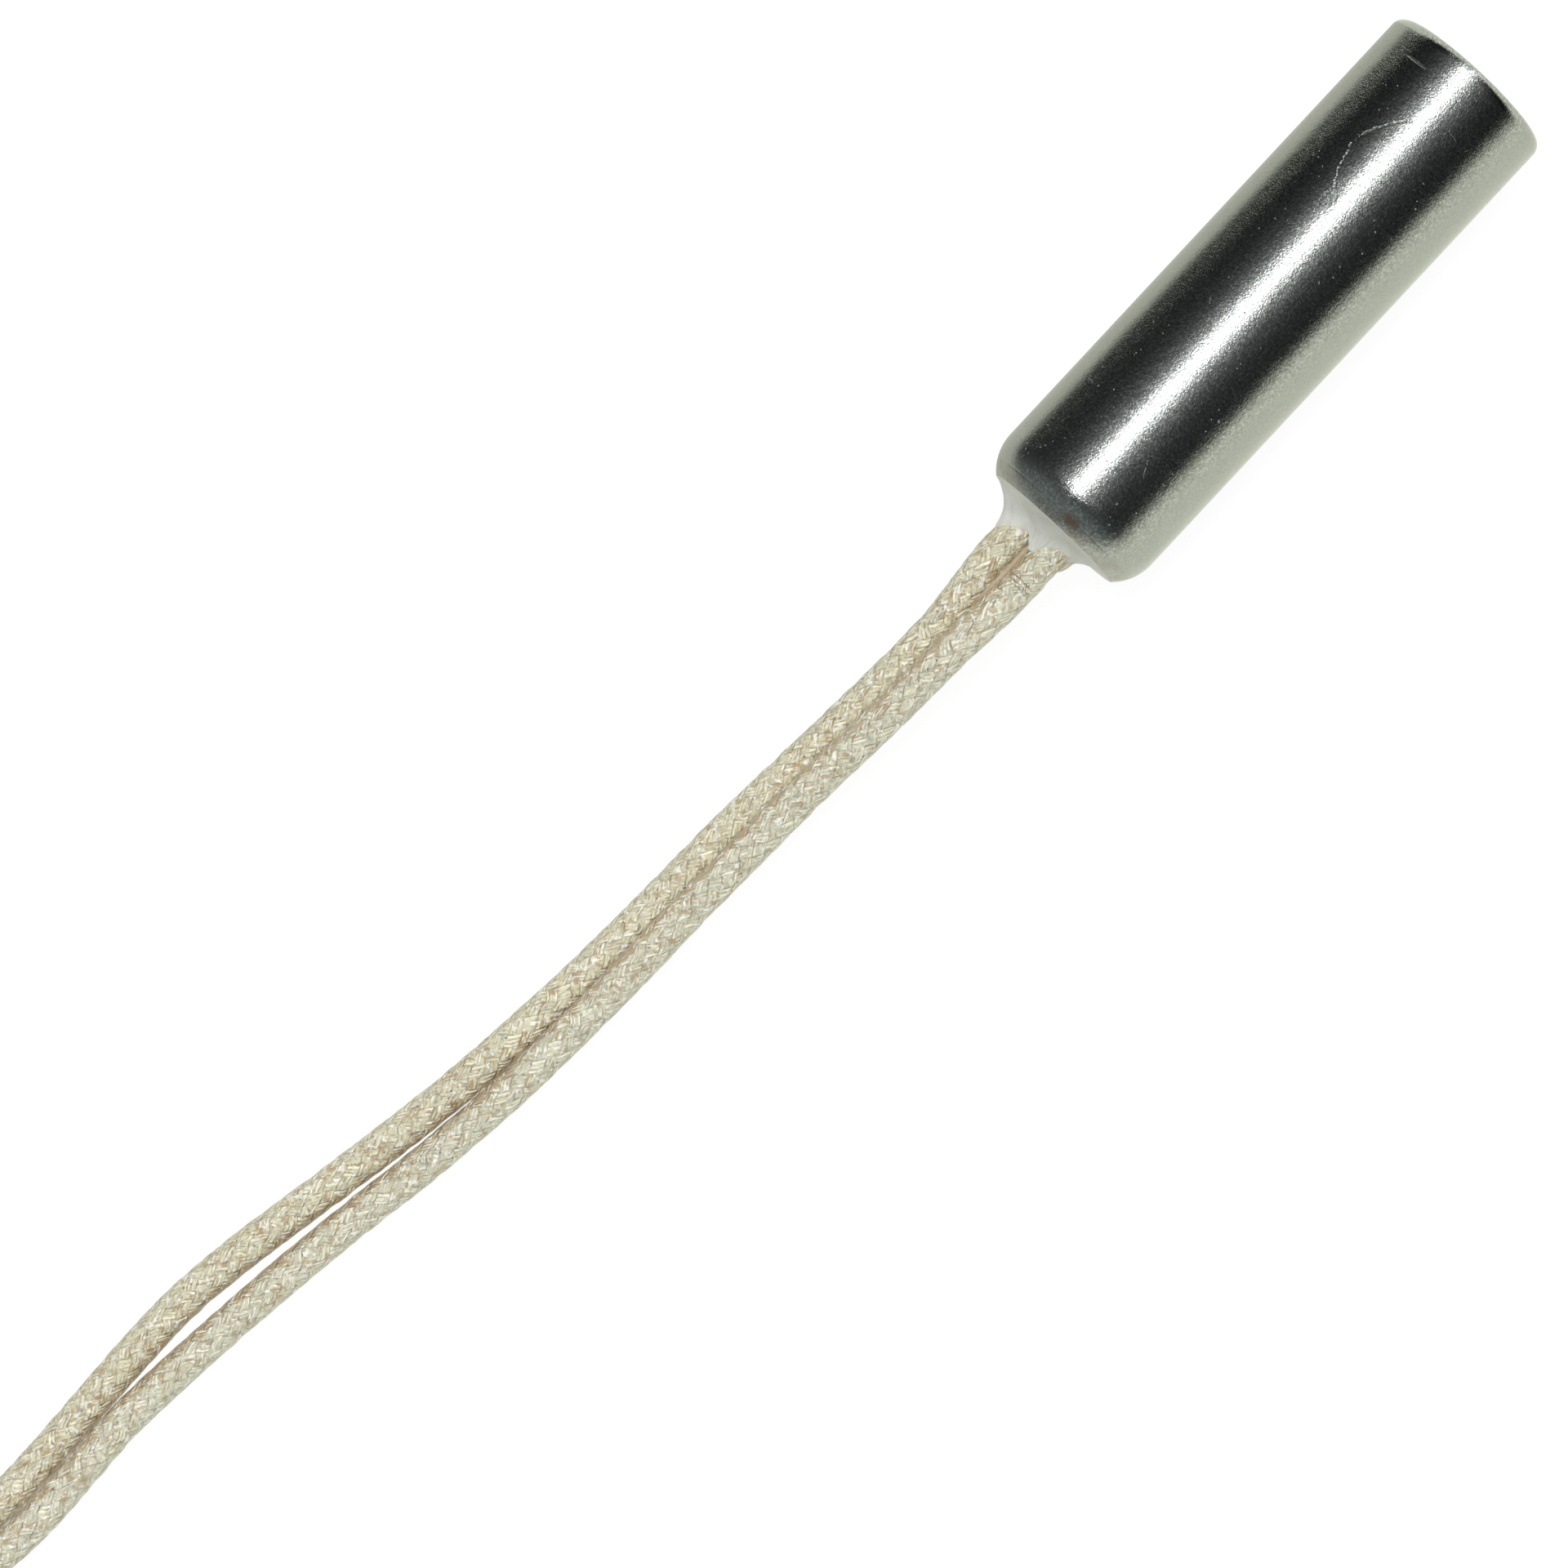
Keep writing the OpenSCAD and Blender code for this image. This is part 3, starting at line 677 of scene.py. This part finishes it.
# Each braid: yarn colour, tan (also used for the painted groove and gap shade), grey of the painted
# fibre shadow, and the turn where the painted groove shade falls
BRAIDS = [
    braid("braid_warm", (0.68, 0.645, 0.47), (0.48, 0.345, 0.185), (0.40, 0.40, 0.34), 0.74),
    braid("braid_cool", (0.67, 0.65, 0.50), (0.48, 0.360, 0.210), (0.41, 0.43, 0.38), 0.27),
]
POWDER = mineral("magnesia_powder", (0.80, 0.78, 0.71), 0.12, 0.9, 0.00003)
ALUMINA = mineral("alumina", (0.86, 0.85, 0.81), 0.05, 0.5, 0.000006)
PLATINUM = metal("platinum", (0.62, 0.61, 0.60), 0.3, 20)
ELEMENT_GLASS = glass("element_glass", (0.30, 0.42, 0.55), 0.12)
BEAD_GLASS = glass("bead_glass", (0.62, 0.66, 0.58), 0.2)
NICKEL = metal("nickel", (0.60, 0.58, 0.53), 0.28, 12)
SLEEVING = yarn_tube("glass_sleeving", (0.82, 0.78, 0.68), 0.22)
COPPER = metal("plated_copper", (0.70, 0.67, 0.62), 0.25, 25)
SERVING = yarn_tube("glass_serving", (0.85, 0.83, 0.76), 0.16)
LOOSE_YARN = soft_plastic("loose_yarn", (0.56, 0.50, 0.36), 0.35, 14)
# Brown of the sheet that paints the shade in the groove between the leads
GROOVE_SHADE_BROWN = soft_plastic("groove_shade_sheet", (0.44, 0.36, 0.24), 0.35, 7)
TIE = soft_plastic("tie_plastic", (0.80, 0.80, 0.77), 0.38, 8)
SILICONE = soft_plastic("silicone_sleeve", (0.28, 0.06, 0.035), 0.42, 6)
TINNED = metal("tinned_ferrule", (0.74, 0.74, 0.72), 0.26, 10)

NODE_MATERIALS = {
    "powder_fill": POWDER, "element_substrate": ALUMINA, "element_film": PLATINUM,
    "element_glaze": ELEMENT_GLASS, "element_bond_bead": BEAD_GLASS, "element_wire_a": PLATINUM,
    "element_wire_b": PLATINUM, "twin_bore_insulator": ALUMINA, "crimp_sleeve_a": NICKEL,
    "crimp_sleeve_b": NICKEL, "splice_sleeving_a": SLEEVING, "splice_sleeving_b": SLEEVING,
    "conductor_a": COPPER, "conductor_b": COPPER, "inner_serving_a": SERVING,
    "inner_serving_b": SERVING,
}
for node, material in NODE_MATERIALS.items():
    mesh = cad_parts[node].data
    mesh.materials.clear()
    mesh.materials.append(material)

# ------------ braided leads

RELIEF = 0.00004                # how far a yarn's crown stands over the gaps between yarns
FINE_SIDES = 64
FINE_STEP = 0.000056
FINE_END_X = -0.0664            # past the picture's corner; from here on the mesh is coarser
COARSE_STEP = 0.00045
FRAME_EVERY = 10                # points of the centreline share one pair of sideways vectors
STRAY_WAVES = 14
STRAY_TURNS, STRAY_LAYS = 0.012, 0.010


def unevenness(turns, lays, seed):
    """Slow, seamless wander of the yarns, for both the map and the relief."""
    dice = np.random.default_rng(seed)
    total = np.zeros_like(turns)
    for k in range(STRAY_WAVES):
        around = dice.integers(-4, 5)
        phase = dice.uniform(0, 2 * math.pi)
        rate = dice.uniform(0.5, 6)
        wave = np.sin(2 * math.pi * (around * turns + rate * lays) + phase)
        total += wave / math.sqrt(STRAY_WAVES)
    return total


def braid_relief(turns, lays):
    """From 0 in the gaps to 1 on the crowns: yarns of two families that cross over and under."""
    rights = YARNS * (turns + lays)
    lefts = YARNS * (turns - lays)
    right_id, left_id = np.round(rights), np.round(lefts)
    heights = []
    for place, own, other, sign in ((rights, right_id, lefts, 1), (lefts, left_id, rights, -1)):
        wave = sign * np.cos(math.pi * (own + other))
        crown = np.sqrt(np.clip(1 - (1.9 * (place - own))**2, 0, 1))
        heights.append(0.28 * np.tanh(1.5 * wave) + 0.6 * crown)
    return np.clip(np.maximum(*heights) + 0.1, 0, 1)


def tube_rings(line, at, sides, relief):
    """Rings of a braided tube at these distances along a line that has even steps."""
    step = length_of(line[:50]) / 49
    k = np.clip(np.round(at / step).astype(int), 0, len(line) - 1)
    side, up = frames_along(line[::FRAME_EVERY])
    q = np.clip(k // FRAME_EVERY, 0, len(side) - 1)
    turns = np.arange(sides + 1) / sides
    lays = at / BRAID_LAY
    grid_t, grid_l = np.meshgrid(turns, lays)
    a = 2 * math.pi * grid_t
    map_t = grid_t + STRAY_TURNS * unevenness(grid_t, grid_l, SEED)
    map_l = grid_l + STRAY_LAYS * unevenness(grid_t, grid_l, SEED + 1)
    r = LEAD_R - RELIEF * (1 - (braid_relief(map_t, map_l) if relief else 0.6))
    r -= 0.5 * RELIEF * np.clip(unevenness(grid_t, grid_l, SEED + 2), 0, 1)
    rings = (line[k][:, None] + (r * np.sin(a))[..., None] * side[q][:, None]
             - (r * np.cos(a))[..., None] * up[q][:, None])
    return rings[:, :-1], np.stack([map_t, map_l], axis=-1)


def tube_faces(first, sides, maps):
    """Faces between the rings that start at vertex first, and their corners on the map."""
    faces, uvs = [], []
    for i in range(len(maps) - 1):
        a, b = first + i * sides, first + (i + 1) * sides
        for k in range(sides):
            m = (k + 1) % sides
            faces.append((a + k, a + m, b + m, b + k))
            uvs.extend((maps[i, k], maps[i, k + 1], maps[i + 1, k + 1], maps[i + 1, k]))
    return faces, uvs


def braided_tube(name, line, fine_until, material, replaces):
    """A closed tube with the braid's relief; fine rings first, then half as many sides."""
    fine_at = np.linspace(0, fine_until, round(fine_until / FINE_STEP) + 1)
    rest = length_of(line) - fine_until
    coarse_at = fine_until + np.linspace(0, rest, round(rest / COARSE_STEP) + 1)[1:]
    n, c = FINE_SIDES, FINE_SIDES // 2
    rings, fine_maps = tube_rings(line, fine_at, n, True)
    vertices = list(rings.reshape(-1, 3))
    faces, uvs = tube_faces(0, n, fine_maps)
    base = len(vertices)
    rings, maps = tube_rings(line, coarse_at, c, False)
    vertices.extend(rings.reshape(-1, 3))
    last_map = fine_maps[-1]
    for k in range(c):
        m = (k + 1) % c
        f = [base - n + (2 * k + j) % n for j in range(3)]
        faces.append((f[0], f[1], base + k))
        uvs.extend((last_map[2 * k], last_map[2 * k + 1], maps[0, k]))
        faces.append((f[1], f[2], base + m, base + k))
        uvs.extend((last_map[2 * k + 1], last_map[2 * k + 2], maps[0, k + 1], maps[0, k]))
    more_faces, more_uvs = tube_faces(base, c, maps)
    faces.extend([*more_faces, tuple(range(n - 1, -1, -1)),
                  tuple(range(len(vertices) - c, len(vertices)))])
    uvs.extend([*more_uvs, *[(0.0, 0.0)] * n, *[(0.0, float(maps[-1, 0, 1]))] * c])
    return new_piece(name, vertices, faces, material, uvs, replaces)


def fine_length(line):
    return length_of(line[: int(np.argmax(line[:, 0] < FINE_END_X))])


LEAD_NAMES = ("lead_a", "lead_b")
for lead, name in enumerate(LEAD_NAMES):
    line = LINES[lead]
    nodes = (name, f"{name}_hank", f"{name}_tail")
    braided_tube(f"braided_{name}", line, fine_length(line), BRAIDS[lead],
                              nodes)

for lead, name in enumerate(("lead_root_a", "lead_root_b")):
    end_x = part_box(name)[1].x
    profile = [(0, BRAID_START_X), (LEAD_R, BRAID_START_X), (LEAD_R, end_x), (0, end_x)]
    turned(f"braided_{name}", profile, 32, BRAIDS[lead], [name],
           (LEAD_Y[lead], 0))

# ------------ capsule

WALL = 0.0003
TIP_EDGE_R = 0.00035
SHOULDER_R = 0.0017
WALL_END_X = -0.0178
MOUTH_R = 0.00245
SHOULDER_C = CAPSULE_R - SHOULDER_R
ROLL = math.degrees(math.acos((MOUTH_R - SHOULDER_C) / SHOULDER_R))
CAPSULE_SIDES = 192


def make_capsule():
    flat_r = CAPSULE_R - TIP_EDGE_R
    inner_r = CAPSULE_R - WALL
    outside = ([(0, 0), (0.5 * flat_r, 0), (0.97 * flat_r, 0)]
               + arc(flat_r, -TIP_EDGE_R, TIP_EDGE_R, 90, 0, 12)
               + [(CAPSULE_R, x) for x in np.linspace(-0.0005, WALL_END_X + 0.0001, 30)]
               + arc(SHOULDER_C, WALL_END_X, SHOULDER_R, 0, -ROLL, 24))
    inside = (arc(SHOULDER_C, WALL_END_X, SHOULDER_R - WALL, -ROLL, 0, 16)
              + [(inner_r, -TIP_EDGE_R - WALL), (flat_r, -WALL), (0, -WALL)])
    turned("steel_capsule", outside + inside, CAPSULE_SIDES, STEEL, ["capsule"])


make_capsule()

# ------------ cement

# How far the cement climbs the leads past the rim, at places across the mouth
CLIMB_Y = (-0.00130, -0.00104, -0.00085, -0.00070, -0.00036, -0.00020, -0.00007, 0.00010,
           0.00030, 0.00045, 0.00062, 0.00085, 0.00107, 0.00133)
CLIMB = (0.00085, 0.00070, 0.00040, 0.00037, 0.00058, 0.00064, 0.00088, 0.00100,
         0.00084, 0.00074, 0.00068, 0.00080, 0.00096, 0.00114)
CLIMB_REACH, CLIMB_SKEW = 0.00046, 0.0001   # it falls off over this, more slowly by lead A
LIP_REACH = 0.00008                 # of the steep lip against a lead
MENISCUS_R = 0.00018                # rounds off the valley between the leads
CEMENT_SIDES = 256
CEMENT_ROWS = 72


def cement_x(y, z):
    """The free surface: flat at the rim, and climbing steeply next to the leads."""
    near = sum(np.exp(-np.hypot(y - lead_y, z) / MENISCUS_R) for lead_y in LEAD_Y)
    gap = np.clip(-MENISCUS_R * np.log(near) - LEAD_R, 0, None)
    r = np.hypot(y, z)
    reach = CLIMB_REACH + CLIMB_SKEW * np.tanh((y - PAIR_Y) / 0.0004)
    rise = 0.7 * np.exp(-gap / reach) + 0.3 * np.exp(-gap / LIP_REACH)
    turn = np.arctan2(z, y)
    uneven = (1 + 0.05 * np.sin(5 * turn + 1.0) + 0.04 * np.sin(13 * turn)
              + 0.03 * np.sin(29 * turn))
    climb = np.interp(y, CLIMB_Y, CLIMB) * uneven * rise * (1 - (r / MOUTH_R)**6)
    swell = 0.00003 * np.sin(3000 * y + 1) * np.sin(2600 * z) * (1 - (r / MOUTH_R)**4)
    return np.maximum(RIM_X - climb - swell, OUTLET_X - 0.00012)


def make_cement():
    turn = np.arange(CEMENT_SIDES) * 2 * math.pi / CEMENT_SIDES
    rings = []
    for r in MOUTH_R * np.linspace(0.01, 1, CEMENT_ROWS):
        y, z = r * np.cos(turn), r * np.sin(turn)
        rings.append(np.stack([cement_x(y, z), y, z], axis=1))
    inner_r = CAPSULE_R - WALL
    back = arc(SHOULDER_C, WALL_END_X, SHOULDER_R - WALL, -ROLL, 0, 10)
    for r, x in back + [(inner_r, PLUG_X), (0.02 * inner_r, PLUG_X)]:
        rings.append(np.stack([np.full(CEMENT_SIDES, x), r * np.cos(turn), r * np.sin(turn)], 1))
    outlined("cement_plug", [swept(rings)], CEMENT, ["potting_seal"])


make_cement()


def tapered_yarn(points, radius, sides=10):
    """A short loose yarn that thins towards both ends."""
    line = through(points, LINE_STEP)
    side, up = frames_along(line)
    t = np.linspace(0, 1, len(line))[:, None, None]
    r = radius * np.sqrt(np.clip(1 - (2 * t - 1)**2, 0.01, 1))
    a = (np.arange(sides) * 2 * math.pi / sides)[None, :, None]
    return swept(line[:, None] + r * (np.sin(a) * side[:, None] - 0.7 * np.cos(a) * up[:, None]))


# Two yarns of lead B that splay onto the cement
outlined("loose_yarns", [
    tapered_yarn([(-0.02000, -0.00098, 0.00018), (-0.01975, -0.00108, 0.00022),
                  (-0.01945, -0.00114, 0.00021), (-0.01918, -0.00127, 0.00012)], 0.00007),
    tapered_yarn([(-0.02005, -0.00080, 0.00040), (-0.01980, -0.00088, 0.00044),
                  (-0.01950, -0.00092, 0.00042), (-0.01930, -0.00096, 0.00034)], 0.00006),
], LOOSE_YARN, crisp=60)

WEB_L = 0.0026                      # how far past the outlet the brown shade web reaches
WEB_HALF_W, WEB_HALF_T = 0.00016, 0.00024
WEB_ROWS, WEB_SIDES = 60, 20


def groove_shade_web():
    """A brown sheet that bridges the leads where they leave the cement side by side: painted shade
    in the groove between them.
    """
    at = np.linspace(BRAID_START_X, OUTLET_X - WEB_L, WEB_ROWS)
    starts = [line[:400][::-1] for line in LINES]
    sides = [np.stack([np.interp(at, line[:, 0], line[:, k]) for k in (1, 2)], 1)
             for line in starts]
    middle = (sides[0] + sides[1]) / 2
    across = sides[0] - sides[1]
    across /= np.linalg.norm(across, axis=1)[:, None]
    upright = np.stack([-across[:, 1], across[:, 0]], 1)
    fade = np.sqrt(np.clip(1 - np.linspace(0, 1, WEB_ROWS)**6, 0.05, 1))
    turn = np.arange(WEB_SIDES) * 2 * math.pi / WEB_SIDES
    wide, thick = WEB_HALF_W * np.cos(turn)[:, None], WEB_HALF_T * np.sin(turn)[:, None]
    rings = []
    for x, centre, a, u, f in zip(at, middle, across, upright, fade):
        rings.append(np.column_stack([np.full(WEB_SIDES, x), centre + f * (wide * a + thick * u)]))
    outlined("groove_shade_web", [swept(rings)], GROOVE_SHADE_BROWN, crisp=60)


groove_shade_web()

# ------------ tie round the hank

TIE_T = 0.0004
TIE_W = 0.002
TIE_TWIST_R = 0.0009
TIE_TURNS = 2.5
TIE_CORNER_R = 0.0008
TIE_LOBE_R = 0.00046                # each of the two ends in the twist
TIE_NECK_R = 0.00014                # least half thickness between them
TIE_RISE = 0.0012                   # of the twist over the band
TIE_SIDES = 32
TIE_HALF_Y = (TIE_HIGH.y - TIE_LOW.y) / 2


def ribbon_section():
    """Half profile points (across, thickness) of a flat tie with a wire along its middle."""
    u = np.linspace(-1, 1, 17)
    thick = 0.55 * TIE_T / 2 + 0.45 * TIE_T / 2 * np.exp(-(u / 0.16)**2)
    thick[[0, -1]] *= 0.4
    across = u * TIE_W / 2
    return np.concatenate([np.stack([across, thick], 1), np.stack([across[::-1], -thick[::-1]], 1)])


def make_tie():
    section = ribbon_section()
    half_y = TIE_HALF_Y - TIE_T / 2
    low_z = TIE_LOW.z + TIE_T / 2
    high_z = TIE_LOW.z + 4 * LEAD_D + TIE_T / 2
    path = []
    for sign_y, sign_z, start in ((1, 1, 0), (-1, 1, 90), (-1, -1, 180), (1, -1, 270)):
        cy = HANK_Y + sign_y * (half_y - TIE_CORNER_R)
        cz = high_z - TIE_CORNER_R if sign_z > 0 else low_z + TIE_CORNER_R
        for a in np.radians(np.linspace(start, start + 90, 7)):
            ny, nz = math.cos(a), math.sin(a)
            path.append((cy + TIE_CORNER_R * ny, cz + TIE_CORNER_R * nz, ny, nz))
    rings = [[(MID_X + u, y + t * ny, z + t * nz) for u, t in section] for y, z, ny, nz in path]
    band_part = swept(rings, closed=True)
    # The two ends rise from the band and are twisted together along the hank
    axis_z = high_z - TIE_T / 2 + TIE_RISE
    start_x, end_x = MID_X + TIE_W / 2 - 0.0002, TIE_HIGH.x
    lobe_c = TIE_TWIST_R - TIE_LOBE_R
    angles = np.arange(TIE_SIDES) * 2 * math.pi / TIE_SIDES
    lobe = TIE_LOBE_R**2 - (lobe_c * np.sin(angles))**2
    outline = lobe_c * np.abs(np.cos(angles)) + np.sqrt(np.maximum(lobe, TIE_NECK_R**2))
    rings = []
    for t in np.linspace(0, 1, 90):
        a = angles + 2 * math.pi * TIE_TURNS * t
        taper = 1 - 0.25 * max(0, (t - 0.97) / 0.03)
        rings.append(np.stack([np.full(TIE_SIDES, start_x + t * (end_x - start_x)),
                               HANK_Y + taper * outline * np.cos(a),
                               axis_z + taper * outline * np.sin(a)], axis=1))
    twist_part = swept(rings)
    rings = []
    for t in np.linspace(0, 1, 12):
        lean = MID_X + (start_x - MID_X + 0.0003) * t * t
        z = high_z + (axis_z + 0.0006 - high_z) * t
        half_x, half_w = TIE_W / 2 * (1 - 0.62 * t), 0.0006 - 0.0001 * t
        rings.append([(lean + half_x * math.cos(a), HANK_Y + half_w * math.sin(a), z)
                      for a in np.arange(24) * 2 * math.pi / 24])
    parts = [band_part, twist_part, swept(rings)]
    return outlined("twist_tie", parts, TIE, ["hank_tie"])


tie = make_tie()

# ------------ lead ends


FERRULE_R, FERRULE_BORE = 0.0005, 0.00026
FLARE_L = 0.0009
BITES = (0.24, 0.52, 0.80)          # places of the crimps along the ferrule's body
STRAND_R = 0.000075
STRANDS = 7
STRAND_LAY = 0.006


def make_end(letter):
    """The sleeve, the bare strands and the crimped ferrule on one lead's end."""
    low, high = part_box(f"fray_sleeve_{letter}")
    cy, cz = (low.y + high.y) / 2, (low.z + high.z) / 2
    outer = (high.y - low.y) / 2

    def wrinkled(x, angle, r):
        if r < 0.7 * outer:
            return np.full_like(angle, r)
        t = (x - low.x) / (high.x - low.x)
        wave = 0.03 * math.sin(24 * t) + 0.02 * np.sin(3 * angle + 9 * t) + 0.01 * np.sin(41 * t)
        return r * (0.955 + wave * 0.7)

    length = np.linspace(high.x - 0.00015, low.x + 0.00015, 46)
    rim = 0.82 * outer
    profile = ([(LEAD_R, low.x), (LEAD_R, high.x), (rim, high.x)] + [(outer, x) for x in length]
               + [(rim, low.x)])
    sleeve = turned(f"sleeve_{letter}", profile, 48, SILICONE,
                    [f"fray_sleeve_{letter}"], (cy, cz), wrinkled)

    low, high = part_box(f"ferrule_{letter}")
    flare = (high.y - low.y) / 2
    flare_x = high.x - FLARE_L

    def crimped(x, angle, r):
        if r < FERRULE_R * 0.9:
            return np.full_like(angle, r)
        t = (flare_x - x) / (flare_x - low.x)
        bite = sum(math.exp(-((t - c) / 0.10)**2) for c in BITES)
        return r * (1 - 0.13 * min(bite, 1) * (0.5 + 0.5 * np.cos(4 * angle)))

    outside = [(flare - 0.0002, high.x), (flare, high.x - 0.00003), (flare, high.x - 0.0001)]
    outside += [(FERRULE_R + (flare - FERRULE_R) * (1 - ease(t)), high.x - 0.0001 - 0.0008 * t)
                for t in np.linspace(0.1, 1, 10)]
    outside += [(FERRULE_R, x) for x in np.linspace(flare_x - 0.0001, low.x + 0.00006, 40)]
    outside += [(FERRULE_R - 0.00005, low.x), (FERRULE_BORE, low.x), (FERRULE_BORE, flare_x)]
    ferrule = turned(f"crimped_ferrule_{letter}", outside, 48, TINNED,
                     [f"ferrule_{letter}"], (cy, cz), crimped)

    low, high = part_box(f"tail_conductor_{letter}")
    rings_of = []
    xs = np.linspace(high.x, low.x, 76)
    for k in range(STRANDS):
        offset = 0 if k == 0 else (high.y - low.y) / 2 - STRAND_R
        a = math.radians(60 * k) + 2 * math.pi * (high.x - xs) / STRAND_LAY
        line = np.stack([xs, cy + offset * np.cos(a), cz + offset * np.sin(a)], axis=1)
        side, up = frames_along(line)
        t = (np.arange(12) * 2 * math.pi / 12)[None, :, None]
        rings = line[:, None] + STRAND_R * (np.sin(t) * side[:, None] - np.cos(t) * up[:, None])
        rings_of.append(swept(rings))
    strands = outlined(f"strands_{letter}", rings_of, COPPER,
                       [f"tail_conductor_{letter}"], crisp=50)
    return [sleeve, ferrule, strands]


for lead, name in enumerate(LEAD_NAMES):
    carried = make_end(name[-1]) + ([tie] if lead == 0 else [])

# ------------ stage and light


STAGE_R = 1.5


def scenery(mesh, unseen_by, **sockets):
    """A plain glowing object. Rays of the kinds in unseen_by pass through it."""
    piece = bpy.data.objects.new(mesh.name, mesh)
    bpy.context.scene.collection.objects.link(piece)
    material, shader = new_material(mesh.name)[:2]
    setup(shader, **sockets)
    mesh.materials.append(material)
    for kind in unseen_by:
        setattr(piece, f"visible_{kind}", False)
    return piece, material


def stage():
    """A pale table, and a dome that fills the picture past the table's edge."""
    mesh = bpy.data.meshes.new("floor")
    corners = [(STAGE_R * x, STAGE_R * y, FLOOR_Z) for x, y in ((-1, -1), (1, -1), (1, 1), (-1, 1))]
    mesh.from_pydata(corners, [], [(0, 1, 2, 3)])
    floor, material = scenery(mesh, ["glossy"], Base_Color=(0.12, 0.12, 0.12), Roughness=0.9,
                              Emission_Color=(1, 1, 1), Emission_Strength=0.91)
    mesh = bpy.data.meshes.new("dome")
    shape = bmesh.new()
    bmesh.ops.create_uvsphere(shape, u_segments=48, v_segments=24, radius=STAGE_R)
    shape.to_mesh(mesh)
    shape.free()
    dome, material = scenery(mesh, ["glossy", "diffuse", "shadow", "transmission"],
                             Base_Color=(0, 0, 0), Roughness=1.0,
                             Emission_Color=(0.9, 0.9, 0.9), Emission_Strength=1.0)
    material.cycles.emission_sampling = "NONE"


# Angles are round the X axis, from straight up towards -Y, in degrees
LAMP_ANGLE = -11.0
TUBE_EDGE = (5.0, 2.0)              # the tube fades over these angles from the lamp's middle
TUBE, GLOW = 7.0, 2.6               # strengths of the tube and of the glow beside it
GLOW_FALL = 9.5
CARD_EDGE = (68, 80)
TABLE_EDGE, TABLE = (-112.5, -118), 0.72
PALE = (0.95, 0.975, 0.83)
DARK = (0.9, 1.0, 0.97)


def studio():
    """One soft lamp nearly overhead, a dark room, and pale surroundings low down."""
    world = bpy.data.worlds.new("studio")
    bpy.context.scene.world = world
    world.use_nodes = True
    tree = world.node_tree
    tree.nodes.clear()
    direction = tree.nodes.new("ShaderNodeTexCoord").outputs["Generated"]
    x, y, z = add("ShaderNodeSeparateXYZ", {0: direction}).outputs

    def angle_of(sideways):
        return math_node("DEGREES", math_node("ARCTAN2", sideways, z))

    angle = angle_of(times(y, -1.0))
    off = absolute(minus(angle, LAMP_ANGLE))
    glow = math_node("EXPONENT", math_node("DIVIDE", off, -GLOW_FALL))
    glow = times(glow, GLOW)
    tube = times(band(off, *TUBE_EDGE), TUBE)
    lamp = plus(glow, tube)
    lamp = times(lamp, band(x, -0.16, -0.03))
    lamp = times(lamp, band(x, 0.05, 0.17, 1.25, 0.6))
    lamp = times(lamp, math_node("GREATER_THAN", z, 0.0))
    towards_y = larger(times(y, -1.0), 0.0)
    towards_x = larger(minus(x, 0.2), 0.0)
    squares = times(towards_y, towards_y)
    squares = plus(squares, times(towards_x, towards_x))
    low = angle_of(math_node("SQRT", squares))
    sideways = plus(towards_y, towards_x)
    card = times(band(low, *CARD_EDGE), band(sideways, 0.0, 0.02))
    table = band(angle, *TABLE_EDGE, 0.0, TABLE)
    pale = larger(card, table)
    dim = band(x, 0.13, 0.06, 0.012, 0.06)
    dim = plus(dim, band(x, -0.10, -0.75, 0.0, 0.20))
    surroundings = add("ShaderNodeVectorMath", {0: DARK, "Scale": dim},
                       operation="SCALE").outputs[0]
    room = mixed(pale, surroundings, PALE)
    light = add("ShaderNodeBackground", {"Color": room, "Strength": 1.0})
    strip = add("ShaderNodeBackground", {"Color": (1, 1, 1, 1), "Strength": lamp})
    both = add("ShaderNodeAddShader", {0: light.outputs[0], 1: strip.outputs[0]})
    output = tree.nodes.new("ShaderNodeOutputWorld")
    tree.links.new(both.outputs[0], output.inputs["Surface"])


FILL_STRENGTH = 2.0
FILL_SPREAD, FILL_TILT = math.radians(55), math.radians(-8)


def fill_light():
    """A broad fill that matt surfaces get and steel doesn't mirror."""
    data = bpy.data.lights.new("fill", "SUN")
    data.energy = FILL_STRENGTH
    data.angle = FILL_SPREAD
    fill = bpy.data.objects.new("fill", data)
    fill.rotation_euler = (FILL_TILT, 0, 0)
    fill.visible_glossy = False
    bpy.context.scene.collection.objects.link(fill)


fill_light()
stage()
studio()
bpy.context.scene.view_settings.view_transform = "Standard"
